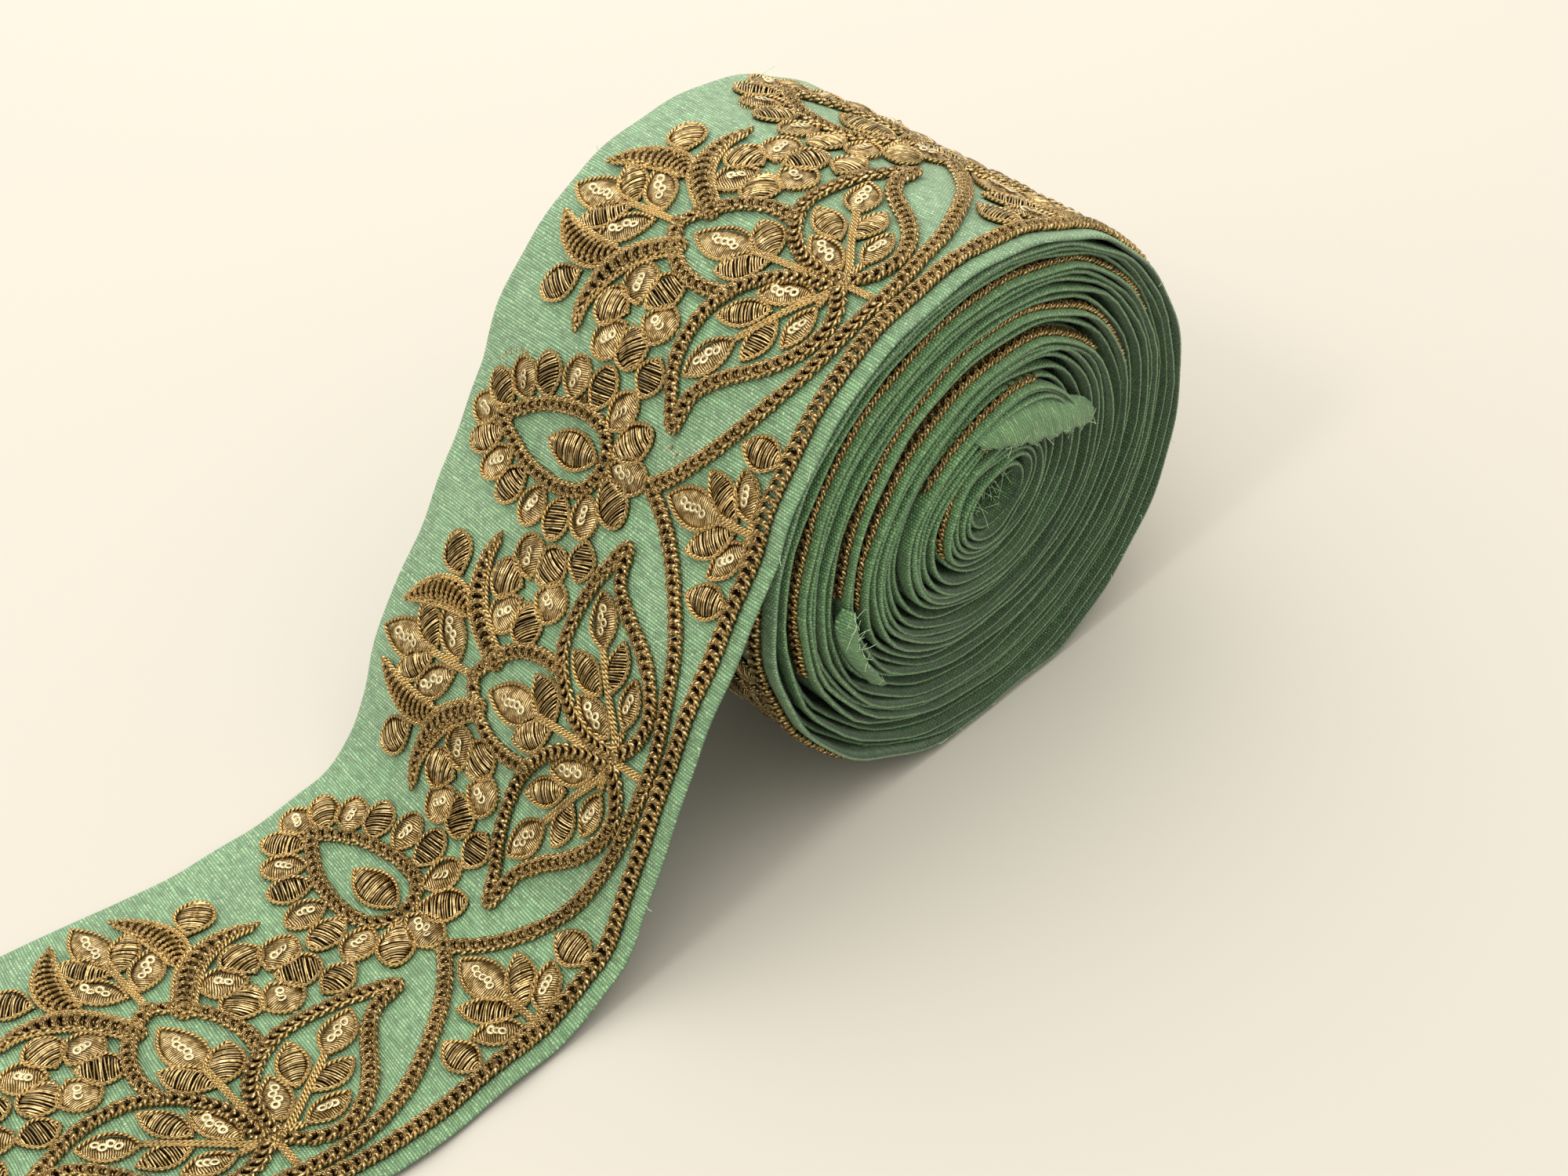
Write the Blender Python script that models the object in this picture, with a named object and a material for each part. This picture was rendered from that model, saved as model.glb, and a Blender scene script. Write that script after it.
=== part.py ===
"""Embroidered border trim: a hemmed cloth band wound into an oval roll, with one loose end.

Metres, +Z up. The band's width runs along Y, its near edge at -Y. The origin is the middle of the
roll's small flat spot, where it stands on the table. The loose end leaves the top of the roll, slopes
down towards -X and lies flat on the table as far as its plainly cut end.
"""

import math

import bmesh
import bpy

MM = 0.001

# Cloth, in millimetres
BAND_WIDTH = 100.0
HEM_THICKNESS = 2.0
LAYER_GAP = 0.3

# Wound roll, in millimetres and degrees
ROLL_HALF_LENGTH = 61.5
ROLL_HALF_HEIGHT = 53.4
ROLL_TILT = 10.0
ROLL_CENTRE = {"near": (-2.0, 51.6), "far": (8.0, 51.6)}
CORE_CENTRE = {"near": (4.0, 48.5), "far": (12.0, 50.0)}
CORE_TILT = 28.0
CORE_FLATTENING = 0.72
TURN_START = 90.0
MAIN_TURNS = 9
STEPS_AROUND = 90
TURN_PITCH = 5.4

# Lines of one main turn's edge, across the turn: how far in, in turns, and how deep, in millimetres
TURN_EDGE = (
    {"inward": 0.0, "depth": 2.4},
    {"inward": 0.3, "depth": 0.0},
    {"inward": 0.75, "depth": 0.2},
)
# Two waves along the spiral that make the turns' edges stand uneven, and how far they reach
EDGE_WAVES = ({"cycles_a_turn": 2.3, "phase": 0.0}, {"cycles_a_turn": 0.61, "phase": 1.0})
EDGE_UNEVENNESS = 0.5
CORE_DEPTH = 3.0

# Loose end: one row for each section across the band, from the cut end up the slope, in millimetres.
# near and far are the points of the two edges on the upper face.
LOOSE_END_SECTIONS = (
    {"near": (-270.0, -24.0, 2.0), "far": (-248.5, 73.5, 2.0)},
    {"near": (-209.5, -37.5, 2.0), "far": (-188.0, 60.0, 2.0)},
    {"near": (-170.0, -49.0, 2.0), "far": (-153.0, 50.5, 2.0)},
    {"near": (-147.0, -50.0, 2.0), "far": (-130.0, 48.5, 2.0)},
    {"near": (-129.5, -50.0, 2.2), "far": (-113.0, 49.0, 2.2)},
    {"near": (-117.5, -50.0, 6.2), "far": (-103.0, 50.0, 6.2)},
    {"near": (-108.5, -50.0, 11.8), "far": (-97.0, 50.0, 14.2)},
    {"near": (-96.8, -50.0, 27.4), "far": (-86.5, 50.0, 30.0)},
    {"near": (-85.0, -50.0, 43.0), "far": (-73.0, 50.0, 43.5)},
    {"near": (-71.5, -50.0, 58.0), "far": (-59.5, 50.0, 58.5)},
)
SLOPE_STEPS = 5
# Turns, counted from the top: the loose end lies on the roll from the first, and stops at the second,
# just short of the step where the outermost turn starts
LEAVES_ROLL = -0.19
MEETS_TURN = -0.001
SHOULDER_STEPS = 12

# Band's section: distance from the near edge, and upper and lower face below the hem's upper face
BAND_SECTION = (
    {"across": 0.0, "upper": 0.6, "lower": 1.4},
    {"across": 0.7, "upper": 0.0, "lower": 2.0},
    {"across": 4.4, "upper": 0.0, "lower": 2.0},
    {"across": 4.9, "upper": 0.25, "lower": 1.75},
    {"across": 35.0, "upper": 0.25, "lower": 1.75},
    {"across": 65.0, "upper": 0.25, "lower": 1.75},
    {"across": 95.1, "upper": 0.25, "lower": 1.75},
    {"across": 95.6, "upper": 0.0, "lower": 2.0},
    {"across": 99.3, "upper": 0.0, "lower": 2.0},
    {"across": 100.0, "upper": 0.6, "lower": 1.4},
)

CLOTH_COLOUR = (0.16, 0.41, 0.27, 1.0)


def clear_scene():
    for obj in list(bpy.data.objects):
        bpy.data.objects.remove(obj, do_unlink=True)


def cloth_material():
    material = bpy.data.materials.new("cloth")
    material.use_nodes = True
    shader = material.node_tree.nodes["Principled BSDF"]
    shader.inputs["Base Color"].default_value = CLOTH_COLOUR
    shader.inputs["Roughness"].default_value = 0.75
    shader.inputs["Metallic"].default_value = 0.0
    return material


def mix(a, b, share):
    return tuple(p + (q - p) * share for p, q in zip(a, b))


def turn_point(turns, end, further_in=0.0):
    """Point (x, z) of the spiral at one end of the roll; it turns clockwise from the top, seen from -Y.

    The first turn draws in only as much as clears the loose end, and the others by the turns' pitch.
    further_in moves the point in towards the core, in turns.
    """
    angle = math.radians(TURN_START - 360.0 * turns)
    wound = turns + further_in
    share = TURN_PITCH * max(wound - 1.0, 0.0) / ROLL_HALF_HEIGHT
    tilt = math.radians(ROLL_TILT + (CORE_TILT - ROLL_TILT) * share)
    half_height = ROLL_HALF_HEIGHT * (1.0 - (1.0 - CORE_FLATTENING) * share)
    along = math.cos(angle - tilt) / ROLL_HALF_LENGTH
    upward = math.sin(angle - tilt) / half_height
    radius = 1.0 / math.hypot(along, upward) - (HEM_THICKNESS + LAYER_GAP) * min(wound, 1.0)
    radius *= 1.0 - share
    centre = mix(ROLL_CENTRE[end], CORE_CENTRE[end], share)
    return centre[0] + radius * math.cos(angle), centre[1] + radius * math.sin(angle)


def edge_depth(line, turns):
    """How deep a line of a turn's edge lies inside the roll's end, a little uneven from turn to turn."""
    waves = [
        math.sin(wave["cycles_a_turn"] * turns * math.tau + wave["phase"]) for wave in EDGE_WAVES
    ]
    uneven = EDGE_UNEVENNESS * (1.0 + sum(waves) / len(waves))
    sunk = CORE_DEPTH * (turns / MAIN_TURNS) ** 2
    return line["depth"] + sunk + uneven


def roll_vertex(bm, turns, line, end):
    x, z = turn_point(turns, end, line["inward"])
    side = -1.0 if end == "near" else 1.0
    y = side * (BAND_WIDTH / 2 - edge_depth(line, turns))
    return bm.verts.new((x * MM, y * MM, max(z, 0.0) * MM))


def spiral_rows(bm, end):
    """Rows of vertices from the outside to the core, one for each step around the roll."""
    lines = len(TURN_EDGE)
    rows = []
    for step in range(STEPS_AROUND):
        # The first row is one turn longer, because the last row joins it one turn further in.
        count = lines * (MAIN_TURNS + (1 if step == 0 else 0)) + 1
        row = []
        for column in range(count):
            line = TURN_EDGE[column % lines]
            turns = step / STEPS_AROUND + column // lines
            row.append(roll_vertex(bm, turns, line, end))
        rows.append(row)
    rows.append(rows[0][lines:])
    return rows


def close_core(bm, rows, end):
    """Fan from the middle of the core to the innermost turn."""
    lines = len(TURN_EDGE)
    last = lines * MAIN_TURNS
    ring = [row[last] for row in rows]
    ring += [rows[0][last + lines - 1 - back] for back in range(lines)]
    side = -1.0 if end == "near" else 1.0
    x, z = CORE_CENTRE[end]
    y = side * (BAND_WIDTH / 2 - CORE_DEPTH - TURN_EDGE[0]["depth"])
    middle = bm.verts.new((x * MM, y * MM, z * MM))
    for a, b in zip(ring, ring[1:]):
        bm.faces.new((middle, a, b))


def wound_roll(material):
    """One solid of the wound form: oval spiral outline, stepped where the loose end leaves it."""
    bm = bmesh.new()
    sides = {end: spiral_rows(bm, end) for end in ("near", "far")}
    for end, rows in sides.items():
        for row, following in zip(rows, rows[1:]):
            for column in range(len(TURN_EDGE) * MAIN_TURNS):
                corners = (row[column], row[column + 1], following[column + 1], following[column])
                bm.faces.new(corners)
        close_core(bm, rows, end)
    near, far = sides["near"], sides["far"]
    for step in range(STEPS_AROUND):
        bm.faces.new((near[step][0], near[step + 1][0], far[step + 1][0], far[step][0]))
    for column in range(len(TURN_EDGE)):
        bm.faces.new((near[0][column], near[0][column + 1], far[0][column + 1], far[0][column]))
    return solid_from(bm, "wound_roll", material)


def catmull_rom(points, steps):
    """Smooth points through all the given ones, with the given number of steps between neighbours."""
    padded = [points[0]] + list(points) + [points[-1]]
    smooth = []
    for p0, p1, p2, p3 in zip(padded, padded[1:], padded[2:], padded[3:]):
        for step in range(steps):
            t = step / steps
            smooth.append(
                tuple(
                    0.5 * (2 * b + (c - a) * t + (2 * a - 5 * b + 4 * c - d) * t**2
                           + (3 * b - a - 3 * c + d) * t**3)
                    for a, b, c, d in zip(p0, p1, p2, p3)
                )
            )
    smooth.append(tuple(points[-1]))
    return smooth


def edge_path(end):
    """Upper face of one edge of the loose end, from its cut end to where it joins the outermost turn."""
    side = -1.0 if end == "near" else 1.0
    slope = [row[end] for row in LOOSE_END_SECTIONS]
    shoulder = []
    for step in range(SHOULDER_STEPS + 1):
        turns = LEAVES_ROLL + (MEETS_TURN - LEAVES_ROLL) * step / SHOULDER_STEPS
        x, z = turn_point(turns, end)
        shoulder.append((x, side * BAND_WIDTH / 2, z))
    flat = HEM_THICKNESS
    smooth = catmull_rom(slope + shoulder[:1], SLOPE_STEPS)
    smooth = [(x, y, max(z, flat)) for x, y, z in smooth[:-1]]
    return smooth + shoulder


def side_normals(path):
    """Unit normal (x, z) of a path in its own side view, pointing out of the upper face."""
    normals = []
    for index in range(len(path)):
        before, after = path[max(index - 1, 0)], path[min(index + 1, len(path) - 1)]
        dx, dz = after[0] - before[0], after[2] - before[2]
        length = math.hypot(dx, dz)
        normals.append((-dz / length, dx / length))
    return normals


def loose_end(material):
    """The hemmed sheet that hangs off the roll's shoulder and lies on the table."""
    paths = {end: edge_path(end) for end in ("near", "far")}
    normals = {end: side_normals(path) for end, path in paths.items()}
    bm = bmesh.new()
    loops = []
    for index in range(len(paths["near"])):
        upper, lower = [], []
        for column in BAND_SECTION:
            share = column["across"] / BAND_WIDTH
            x, y, z = mix(paths["near"][index], paths["far"][index], share)
            nx, nz = mix(normals["near"][index], normals["far"][index], share)
            for face, depth in ((upper, column["upper"]), (lower, column["lower"])):
                place = ((x - nx * depth) * MM, y * MM, (z - nz * depth) * MM)
                face.append(bm.verts.new(place))
        loops.append(upper + lower[::-1])
    for loop, following in zip(loops, loops[1:]):
        for index in range(len(loop)):
            after = (index + 1) % len(loop)
            bm.faces.new((loop[index], loop[after], following[after], following[index]))
    bm.faces.new(loops[0])
    bm.faces.new(loops[-1][::-1])
    return solid_from(bm, "loose_end", material)


def solid_from(bm, name, material):
    bmesh.ops.recalc_face_normals(bm, faces=bm.faces)
    mesh = bpy.data.meshes.new(name)
    bm.to_mesh(mesh)
    bm.free()
    mesh.materials.append(material)
    mesh.shade_smooth()
    mesh.set_sharp_from_angle(angle=math.radians(35))
    obj = bpy.data.objects.new(name, mesh)
    bpy.context.scene.collection.objects.link(obj)
    return obj


def main():
    clear_scene()
    material = cloth_material()
    wound_roll(material)
    loose_end(material)


main()
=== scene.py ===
"""Looks of an embroidered border trim: a hemmed silk band, wound into an oval roll with a loose end.

Sizes are in millimetres until a mesh is made, and meshes are in metres, +Z up. Embroidery is drawn
flat, as x along the band, y across it from the near edge and z above the cloth, and is then laid on
the wound band.
"""

import functools
import math

import bpy
import numpy as np
from mathutils import Matrix, Vector


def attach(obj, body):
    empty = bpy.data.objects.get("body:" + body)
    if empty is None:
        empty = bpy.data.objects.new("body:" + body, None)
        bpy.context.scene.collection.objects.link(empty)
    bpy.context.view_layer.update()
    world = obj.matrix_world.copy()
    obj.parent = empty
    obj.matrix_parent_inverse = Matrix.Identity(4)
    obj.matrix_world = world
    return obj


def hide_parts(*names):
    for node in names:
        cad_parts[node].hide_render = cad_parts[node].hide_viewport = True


bl_info = {
    "name": "Embroidered border trim",
    "version": (1, 0, 0),
    "blender": (4, 5, 0),
    "location": "View3D > Sidebar > Trim",
    "description": "Dresses a wound border band in slub silk, chain stitch, metal thread and sequins",
    "category": "Object",
}

MM = 0.001
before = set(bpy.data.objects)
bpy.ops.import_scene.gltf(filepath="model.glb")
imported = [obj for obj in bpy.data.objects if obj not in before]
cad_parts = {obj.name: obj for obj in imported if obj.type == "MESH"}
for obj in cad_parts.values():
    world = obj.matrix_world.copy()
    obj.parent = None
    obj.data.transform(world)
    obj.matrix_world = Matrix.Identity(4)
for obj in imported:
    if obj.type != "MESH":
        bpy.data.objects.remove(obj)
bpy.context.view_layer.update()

# The wound band, as the solids have it
BAND_WIDTH = 100.0
FAR_EDGE = 101.2
LOOSE_END_SECTIONS = (
    {"near": (-270.0, -24.0, 2.0), "far": (-248.5, 73.5, 2.0)},
    {"near": (-209.5, -37.5, 2.0), "far": (-188.0, 60.0, 2.0)},
    {"near": (-170.0, -49.0, 2.0), "far": (-153.0, 50.5, 2.0)},
    {"near": (-147.0, -50.0, 2.0), "far": (-130.0, 48.5, 2.0)},
    {"near": (-129.5, -50.0, 2.2), "far": (-113.0, 49.0, 2.2)},
    {"near": (-117.5, -50.0, 6.2), "far": (-103.0, 50.0, 6.2)},
    {"near": (-108.5, -50.0, 11.8), "far": (-97.0, 50.0, 14.2)},
    {"near": (-96.8, -50.0, 27.4), "far": (-86.5, 50.0, 30.0)},
    {"near": (-85.0, -50.0, 43.0), "far": (-73.0, 50.0, 43.5)},
    {"near": (-71.5, -50.0, 58.0), "far": (-59.5, 50.0, 58.5)},
)
FOOT_OF_SLOPE = 3
SLOPE_STEPS = 8
FLAT_HEIGHT = 2.0
ROLL_HALF_LENGTH = 61.5
ROLL_HALF_HEIGHT = 53.4
ROLL_TILT = 10.0
ROLL_CENTRE = {"near": (-2.0, 51.6), "far": (8.0, 51.6)}
CORE_CENTRE = {"near": (4.0, 48.5), "far": (12.0, 50.0)}
CORE_TILT = 28.0
CORE_FLATTENING = 0.72
LEAVES_ROLL = -0.19
FIRST_TURN_STEP = 1.8
TURN_SAMPLES = 120
SHOWN_TURNS = 1.2
ROW_STEP = 1.5
ROWS_IN_A_TURN = 64
TIGHT_SIDE = math.radians(47.0)
TIGHT_SIDE_SHIFT = 2.9
LOWEST_CLOTH = 0.9
TUCKED_UNDER = 0.83

# How unevenly the turns lie, how far the edges sway and how high the band puckers
UNEVEN_TURNS = 0.4
BUNCHED_TURNS = 0.55
LOOSE_CORE = 0.5
EDGE_WAVE = {"near": 0.14, "far": 0.5}
FAR_EDGE_STEP = 0.1
PUCKER_HEIGHTS = (0.2, 0.18)
LOWEST_POINT = 0.05

# How far the near edge stands back at numbers of turns of the roll
EDGE_STEPS = (
    (0.0, 0.0), (0.95, 0.3), (1.56, 0.8), (1.64, 4.6), (1.76, 3.6), (1.95, 1.2), (2.6, 1.4),
    (3.2, 2.0), (3.6, 2.8), (3.72, 5.0), (4.2, 5.2), (4.55, 3.4), (4.74, 0.3), (5.2, 0.3),
    (6.0, 0.9), (7.0, 1.6), (7.6, 0.7), (8.4, 1.5), (9.6, 2.6), (9.8, 5.0), (10.2, 5.2),
    (10.6, 3.6), (10.8, 0.5), (11.2, 0.4), (12.0, 1.2), (12.6, 2.0), (12.8, 4.0), (13.1, 4.2),
    (13.5, 2.6), (13.78, 0.3), (14.15, 0.2), (15.0, 0.9), (16.0, 0.5), (17.0, 1.4), (18.9, 3.2),
    (19.15, 3.2), (19.9, 0.2), (20.3, 0.2), (21.2, 1.2), (22.2, 0.6), (23.4, 1.4), (24.6, 2.0),
    (24.8, 4.8), (25.1, 4.8), (25.6, 2.2), (25.78, 0.5), (26.1, 1.2), (28.0, 2.0), (29.5, 1.4),
    (30.6, 3.0), (31.2, 6.0), (32.0, 10.0), (34.5, 20.0),
)

# Stretches of the border that show on the near end, from one number of turns to another
SHOWN_BORDERS = ((4.72, 5.2), (10.76, 11.22), (13.74, 14.18), (19.86, 20.1), (25.7, 26.08))
SHOWN_BORDER_ACROSS = 3.0
SHOWN_BORDER_HALF_WIDTH = 1.7
SHOWN_BORDER_STEP = 2.0
SHOWN_BORDER_LIFT = 0.3

# Hem turned over on the near end: its outer and inner edges as x and z, and how far it stands out
HEM_FOLDS = (
    {"outer": ((31.4, 56.6), (29.0, 59.4), (23.2, 62.9), (14.2, 66.8), (5.2, 68.6), (-3.0, 67.5)),
     "inner": ((30.4, 52.8), (28.0, 53.2), (23.2, 54.8), (15.2, 57.4), (7.2, 60.0), (0.8, 62.8)),
     "stands": 0.4},
    {"outer": ((-42.1, 51.0), (-44.4, 49.0), (-44.8, 44.8), (-42.9, 37.8), (-38.1, 28.3)),
     "inner": ((-40.4, 49.5), (-41.8, 46.8), (-42.0, 42.9), (-40.0, 36.6), (-34.8, 27.4)),
     "stands": 1.6},
)
HEM_COLUMNS = 8
HEM_THICKNESS = 0.5
HIDDEN_ROOT = 1.6
TURNED_HEM_WIDTH = 4.0

# Frayed threads: their radius, how many there are of each kind and how long they are
FRAY_RADIUS = 0.055
FRAYS = {"hem": {"count": 26, "length": 2.2}, "core": {"count": 60, "length": 5.0},
         "edge": {"count": 90, "length": 1.3}}
LONG_THREADS = ((205.0, 93.0), (178.0, 90.0), (96.0, 16.0), (60.0, 40.0))
LONG_THREAD_LENGTH = 9.0
LONG_THREAD_HEIGHT = 0.4
FRAYED_CORE_TURNS = 1.4
CORE_THREAD_DEPTH = 6.0
FRAYED_EDGE_TURNS = 0.7
EDGE_THREAD_HEIGHT = -0.4

# Section of the band: distance from an edge, upper face and lower face below the hem's upper face
HEM_SECTION = (
    {"across": 0.0, "upper": 0.55, "lower": 0.55},
    {"across": 0.12, "upper": 0.25, "lower": 0.85},
    {"across": 0.45, "upper": 0.08, "lower": 1.02},
    {"across": 1.0, "upper": 0.0, "lower": 1.1},
    {"across": 2.6, "upper": 0.0, "lower": 1.1},
    {"across": 4.1, "upper": 0.08, "lower": 1.06},
    {"across": 4.5, "upper": 0.55, "lower": 1.05},
    {"across": 5.0, "upper": 0.28, "lower": 1.0},
    {"across": 9.0, "upper": 0.25, "lower": 0.95},
)
FAR_HEM_SECTION = (HEM_SECTION[0], *HEM_SECTION[2:5], HEM_SECTION[-1])
FIELD_COLUMNS = (22.0, 40.0, 60.0, 78.0)
FIELD_LEVEL = 0.25

# Embroidery repeat, along the band from the foot of the slope
REPEAT = 103.3
FIRST_LOTUS = 17.6
SKEW = 0.12
FIRST_COPY = -2
LAST_COPY = 5
CUT_END_MARGIN = 1.0
MOST_TRIANGLES = 190000

# Chain-stitched lines. x is from the motif's middle, y from the near edge; width is the stitch's own.
CHAIN_LINES = (
    {"motif": "border", "pair": False, "width": 4.5, "points": ((0, 5.7), (103.3, 5.7))},
    {"motif": "plant", "pair": True, "width": 3.9, "points": (
        (0, 10.0), (10.4, 10.9), (21, 13.6), (31, 18.6), (40, 25), (47.3, 32.6), (51.4, 38.6))},
    {"motif": "plant", "pair": True, "width": 4.0, "points": (
        (0.6, 20.5), (5.8, 16.2), (11.5, 15.2), (17, 18), (22, 23.3), (26.5, 30.5), (31.5, 36),
        (38.6, 37.6))},
    {"motif": "plant", "pair": True, "width": 3.9, "points": (
        (38.2, 38.6), (33.5, 41.3), (28, 44), (21.8, 45.3), (15, 44.9), (9.6, 42), (5.6, 38),
        (2.8, 33), (1.4, 27), (1.1, 21))},
    {"motif": "plant", "pair": True, "width": 3.9, "points": (
        (10.6, 43.5), (11.2, 49), (10.2, 55), (7.8, 59.8), (4.6, 63.8), (0.4, 66.6))},
    {"motif": "lotus", "pair": True, "width": 3.8, "points": (
        (1.2, 53.2), (3.4, 54), (6.8, 57), (8.2, 62.7), (7.9, 69.3), (6.3, 76.5), (3.1, 82.9),
        (0.4, 87.3))},
)

# Horned leaves: a stalk that bends away to a tip, and a crescent on its side, both filled with loops
HORN_STALK = {"motif": "plant", "pair": True, "points": (
    (5.0, 61.8), (7.3, 65.7), (10.6, 70.3), (14.3, 73.6), (18.2, 75.3), (22.5, 76.2), (25.6, 75.8),
    (28.0, 74.8)), "half_widths": (2.3, 2.4, 2.6, 2.8, 2.4, 1.8, 1.3, 0.8)}
HORN_CRESCENT = {"motif": "plant", "pair": True, "points": (
    (11.6, 75.2), (12.8, 79.4), (12.7, 83.6), (11.6, 87.6), (9.8, 91.2), (7.6, 94.0)),
    "half_widths": (1.8, 3.1, 3.4, 3.0, 2.0, 0.9)}

# Loops of the chain stitches; the cord of each is a share of the plied cord's radius
CHAIN_LOOP = {"Loop length": 2.9, "Tilt": 0.3}
CRESCENT_LOOP = {"Stitch length": 1.6, "Loop length": 2.7, "Tilt": 0.35}
SHOWN_LOOP = {"Loop length": 2.9, "Tilt": 0.25}
CHAIN_CORD = 1.12
CRESCENT_CORD = 0.8

# Leaves and petals: motif, whether it is one of a pair, base, tip, width, shape and what fills it
LEAF_COLUMNS = ("motif", "pair", "base", "tip", "width", "shape", "fill")
LEAVES = tuple(dict(zip(LEAF_COLUMNS, row)) for row in (
    ("plant", False, (0, 43.5), (-1, 61), 7.6, "leaf", "sequins"),
    ("plant", True, (0.6, 39.2), (7.4, 49.6), 6.6, "leaf", "strands"),
    ("plant", True, (18.3, 33.6), (29.2, 40.6), 6.6, "leaf", "sequins"),
    ("plant", True, (10.2, 29.8), (15.6, 42), 5.6, "leaf", "strands"),
    ("plant", True, (11.6, 27.2), (22.3, 29.2), 5.6, "leaf", "strands"),
    ("plant", True, (3.7, 23.4), (8.2, 36.4), 5.4, "leaf", "sequins"),
    ("plant", True, (6.4, 20.6), (17, 22.3), 5.2, "leaf", "sequins"),
    ("plant", False, (0, 81.4), (-0.5, 98.4), 7.6, "leaf", "sequins"),
    ("plant", True, (0.7, 80.3), (8.8, 90.2), 6.0, "leaf", "strands"),
    ("plant", True, (1.1, 72.3), (10.2, 83), 6.4, "leaf", "sequins"),
    ("plant", True, (17, 81.6), (24.8, 89.2), 8.0, "petal", "strands"),
    ("plant", True, (27.4, 48.4), (36.6, 49.4), 7.0, "leaf", "strands"),
    ("lotus", False, (0, 52.4), (0, 39.8), 7.6, "petal", "sequins"),
    ("lotus", False, (0, 55.2), (0, 71.6), 7.4, "leaf", "strands"),
    ("lotus", True, (14.7, 6.9), (15.4, 18.6), 6.2, "leaf", "strands"),
    ("lotus", False, (0, 16.6), (0, 33.6), 7.4, "leaf", "sequins"),
    ("lotus", True, (0.9, 12.4), (8.4, 23.6), 6.0, "leaf", "strands"),
    ("lotus", True, (1.9, 8.6), (11.2, 15.2), 5.8, "leaf", "sequins"),
))

# Lotus petals round the ring: base and tip
LOTUS_PETALS = (
    {"base": (2.6, 51.6), "tip": (10.2, 42.6), "width": 7.8, "fill": "strands"},
    {"base": (7.2, 55.4), "tip": (15.8, 50.6), "width": 7.5, "fill": "sequins"},
    {"base": (9.6, 61.3), "tip": (19.2, 60.2), "width": 7.5, "fill": "strands"},
    {"base": (9.6, 68.6), "tip": (19.0, 69.8), "width": 7.5, "fill": "sequins"},
    {"base": (8.2, 75.6), "tip": (16.8, 80.2), "width": 7.5, "fill": "strands"},
    {"base": (5.8, 81.4), "tip": (13.4, 88.0), "width": 7.4, "fill": "sequins"},
    {"base": (3.0, 86.2), "tip": (8.6, 95.0), "width": 7.0, "fill": "strands"},
)
LOTUS_TIP_PETAL = {"base": (0, 88.4), "tip": (0, 97.8), "width": 7.4, "fill": "sequins"}

# Six-petalled flowers of the plant
FLOWER_CENTRE = (21.5, 60.8)
FLOWER_START = 30.0
FLOWER_PETALS = 6
FLOWER_INNER = 2.0
FLOWER_OUTER = 12.3
FLOWER_PETAL_WIDTH = 8.4

# Stems of two cords each
STEMS = (
    {"motif": "plant", "pair": False, "points": ((0, 12), (0.3, 20), (0, 32), (0, 44))},
    {"motif": "plant", "pair": True, "points": ((0.4, 20), (5, 22.6), (11, 27.8), (18.6, 33.8))},
    {"motif": "plant", "pair": True, "points": ((2.2, 21), (6.4, 20.6))},
    {"motif": "plant", "pair": False, "points": ((0, 66), (0, 74), (0, 81.6))},
    {"motif": "lotus", "pair": False, "points": ((0, 6.4), (0, 12), (0, 17))},
    {"motif": "lotus", "pair": True, "points": ((0, 6.4), (0.8, 7.4), (2, 8.8))},
)

# Where the middle of each motif lies in the repeat
MOTIF_MIDDLE = {"lotus": 0.0, "plant": REPEAT / 2, "border": 0.0}

# How full a leaf is towards its base and its tip, and how far its widest place lies from the base
LEAF_SHAPES = {"leaf": (0.8, 0.75, 0.95), "petal": (0.8, 0.45, 1.15)}
LEAF_FULLNESS = {"leaf": 1.2, "petal": 1.12}
LEAST_HALF_WIDTH = 0.06
OUTLINE_STEPS = 26
PETAL_UNDER_RING = 0.9

# Padding of leaves, what lies on it, and heights above the cloth. Outline cords are set by shares of
# their own radius.
PADDING_RISE = {"sequins": 1.25, "strands": 0.55}
PADDING_INSET = 0.45
PADDING_STEPS = (11, 7)
# Height of the strips of painted shade under open stitches
SHADE_STRIP_HEIGHT = 0.34
LINE_LIFT = 0.35
HORN_LIFT = 0.5
HORN_CORD_LIFT = 0.6
STEM_LIFT = 0.5
STEM_SPREAD = 0.9
OUTLINE_INSET = 0.7
OUTLINE_LIFT = 1.9
STRAND_LIFT = 0.5
STRAND_INSET = 0.35
LEAST_STRAND = 0.25
SEQUIN_LIFT = 1.5
SEQUIN_ZIGZAG = 0.4
LONG_LEAF = 12.0
SEQUIN_REACH = {"short": 0.2, "long": 0.34}

# Tones of the silk, with painted shade in the weave's gaps, in the hem's seam and under the band's edge
# between turns; painted shade over the hem and over the wound turns; and places of the seam's shade and
# of the shade under the edge
SILK_SHADES = {"slub": 0.6, "bright": 1.18, "painted_gap_shade": 0.4, "painted_seam_shade": 0.35, "painted_shade_under_edge": 0.08}
HEM_PAINTED_SHADE = (0.86, 0.9, 0.84, 1.0)
WOUND_PAINTED_SHADE = (0.84, 0.95, 0.76, 1.0)
WOUND_SHADE_TURNS = (0.95, 1.3)
SILK_PATCH = 14.0
# Where the painted shade in the hem's seam groove starts, is darkest and ends, from the near edge
SEAM_SHADE_ACROSS = (3.6, 4.2, 4.6)
# Places across, past the edge, of the painted shade under the band's edge between turns
SHADE_UNDER_EDGE_ACROSS = (-2.6, -1.2, -0.9, -0.2)
EDGE_WRAP = 0.9

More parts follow.
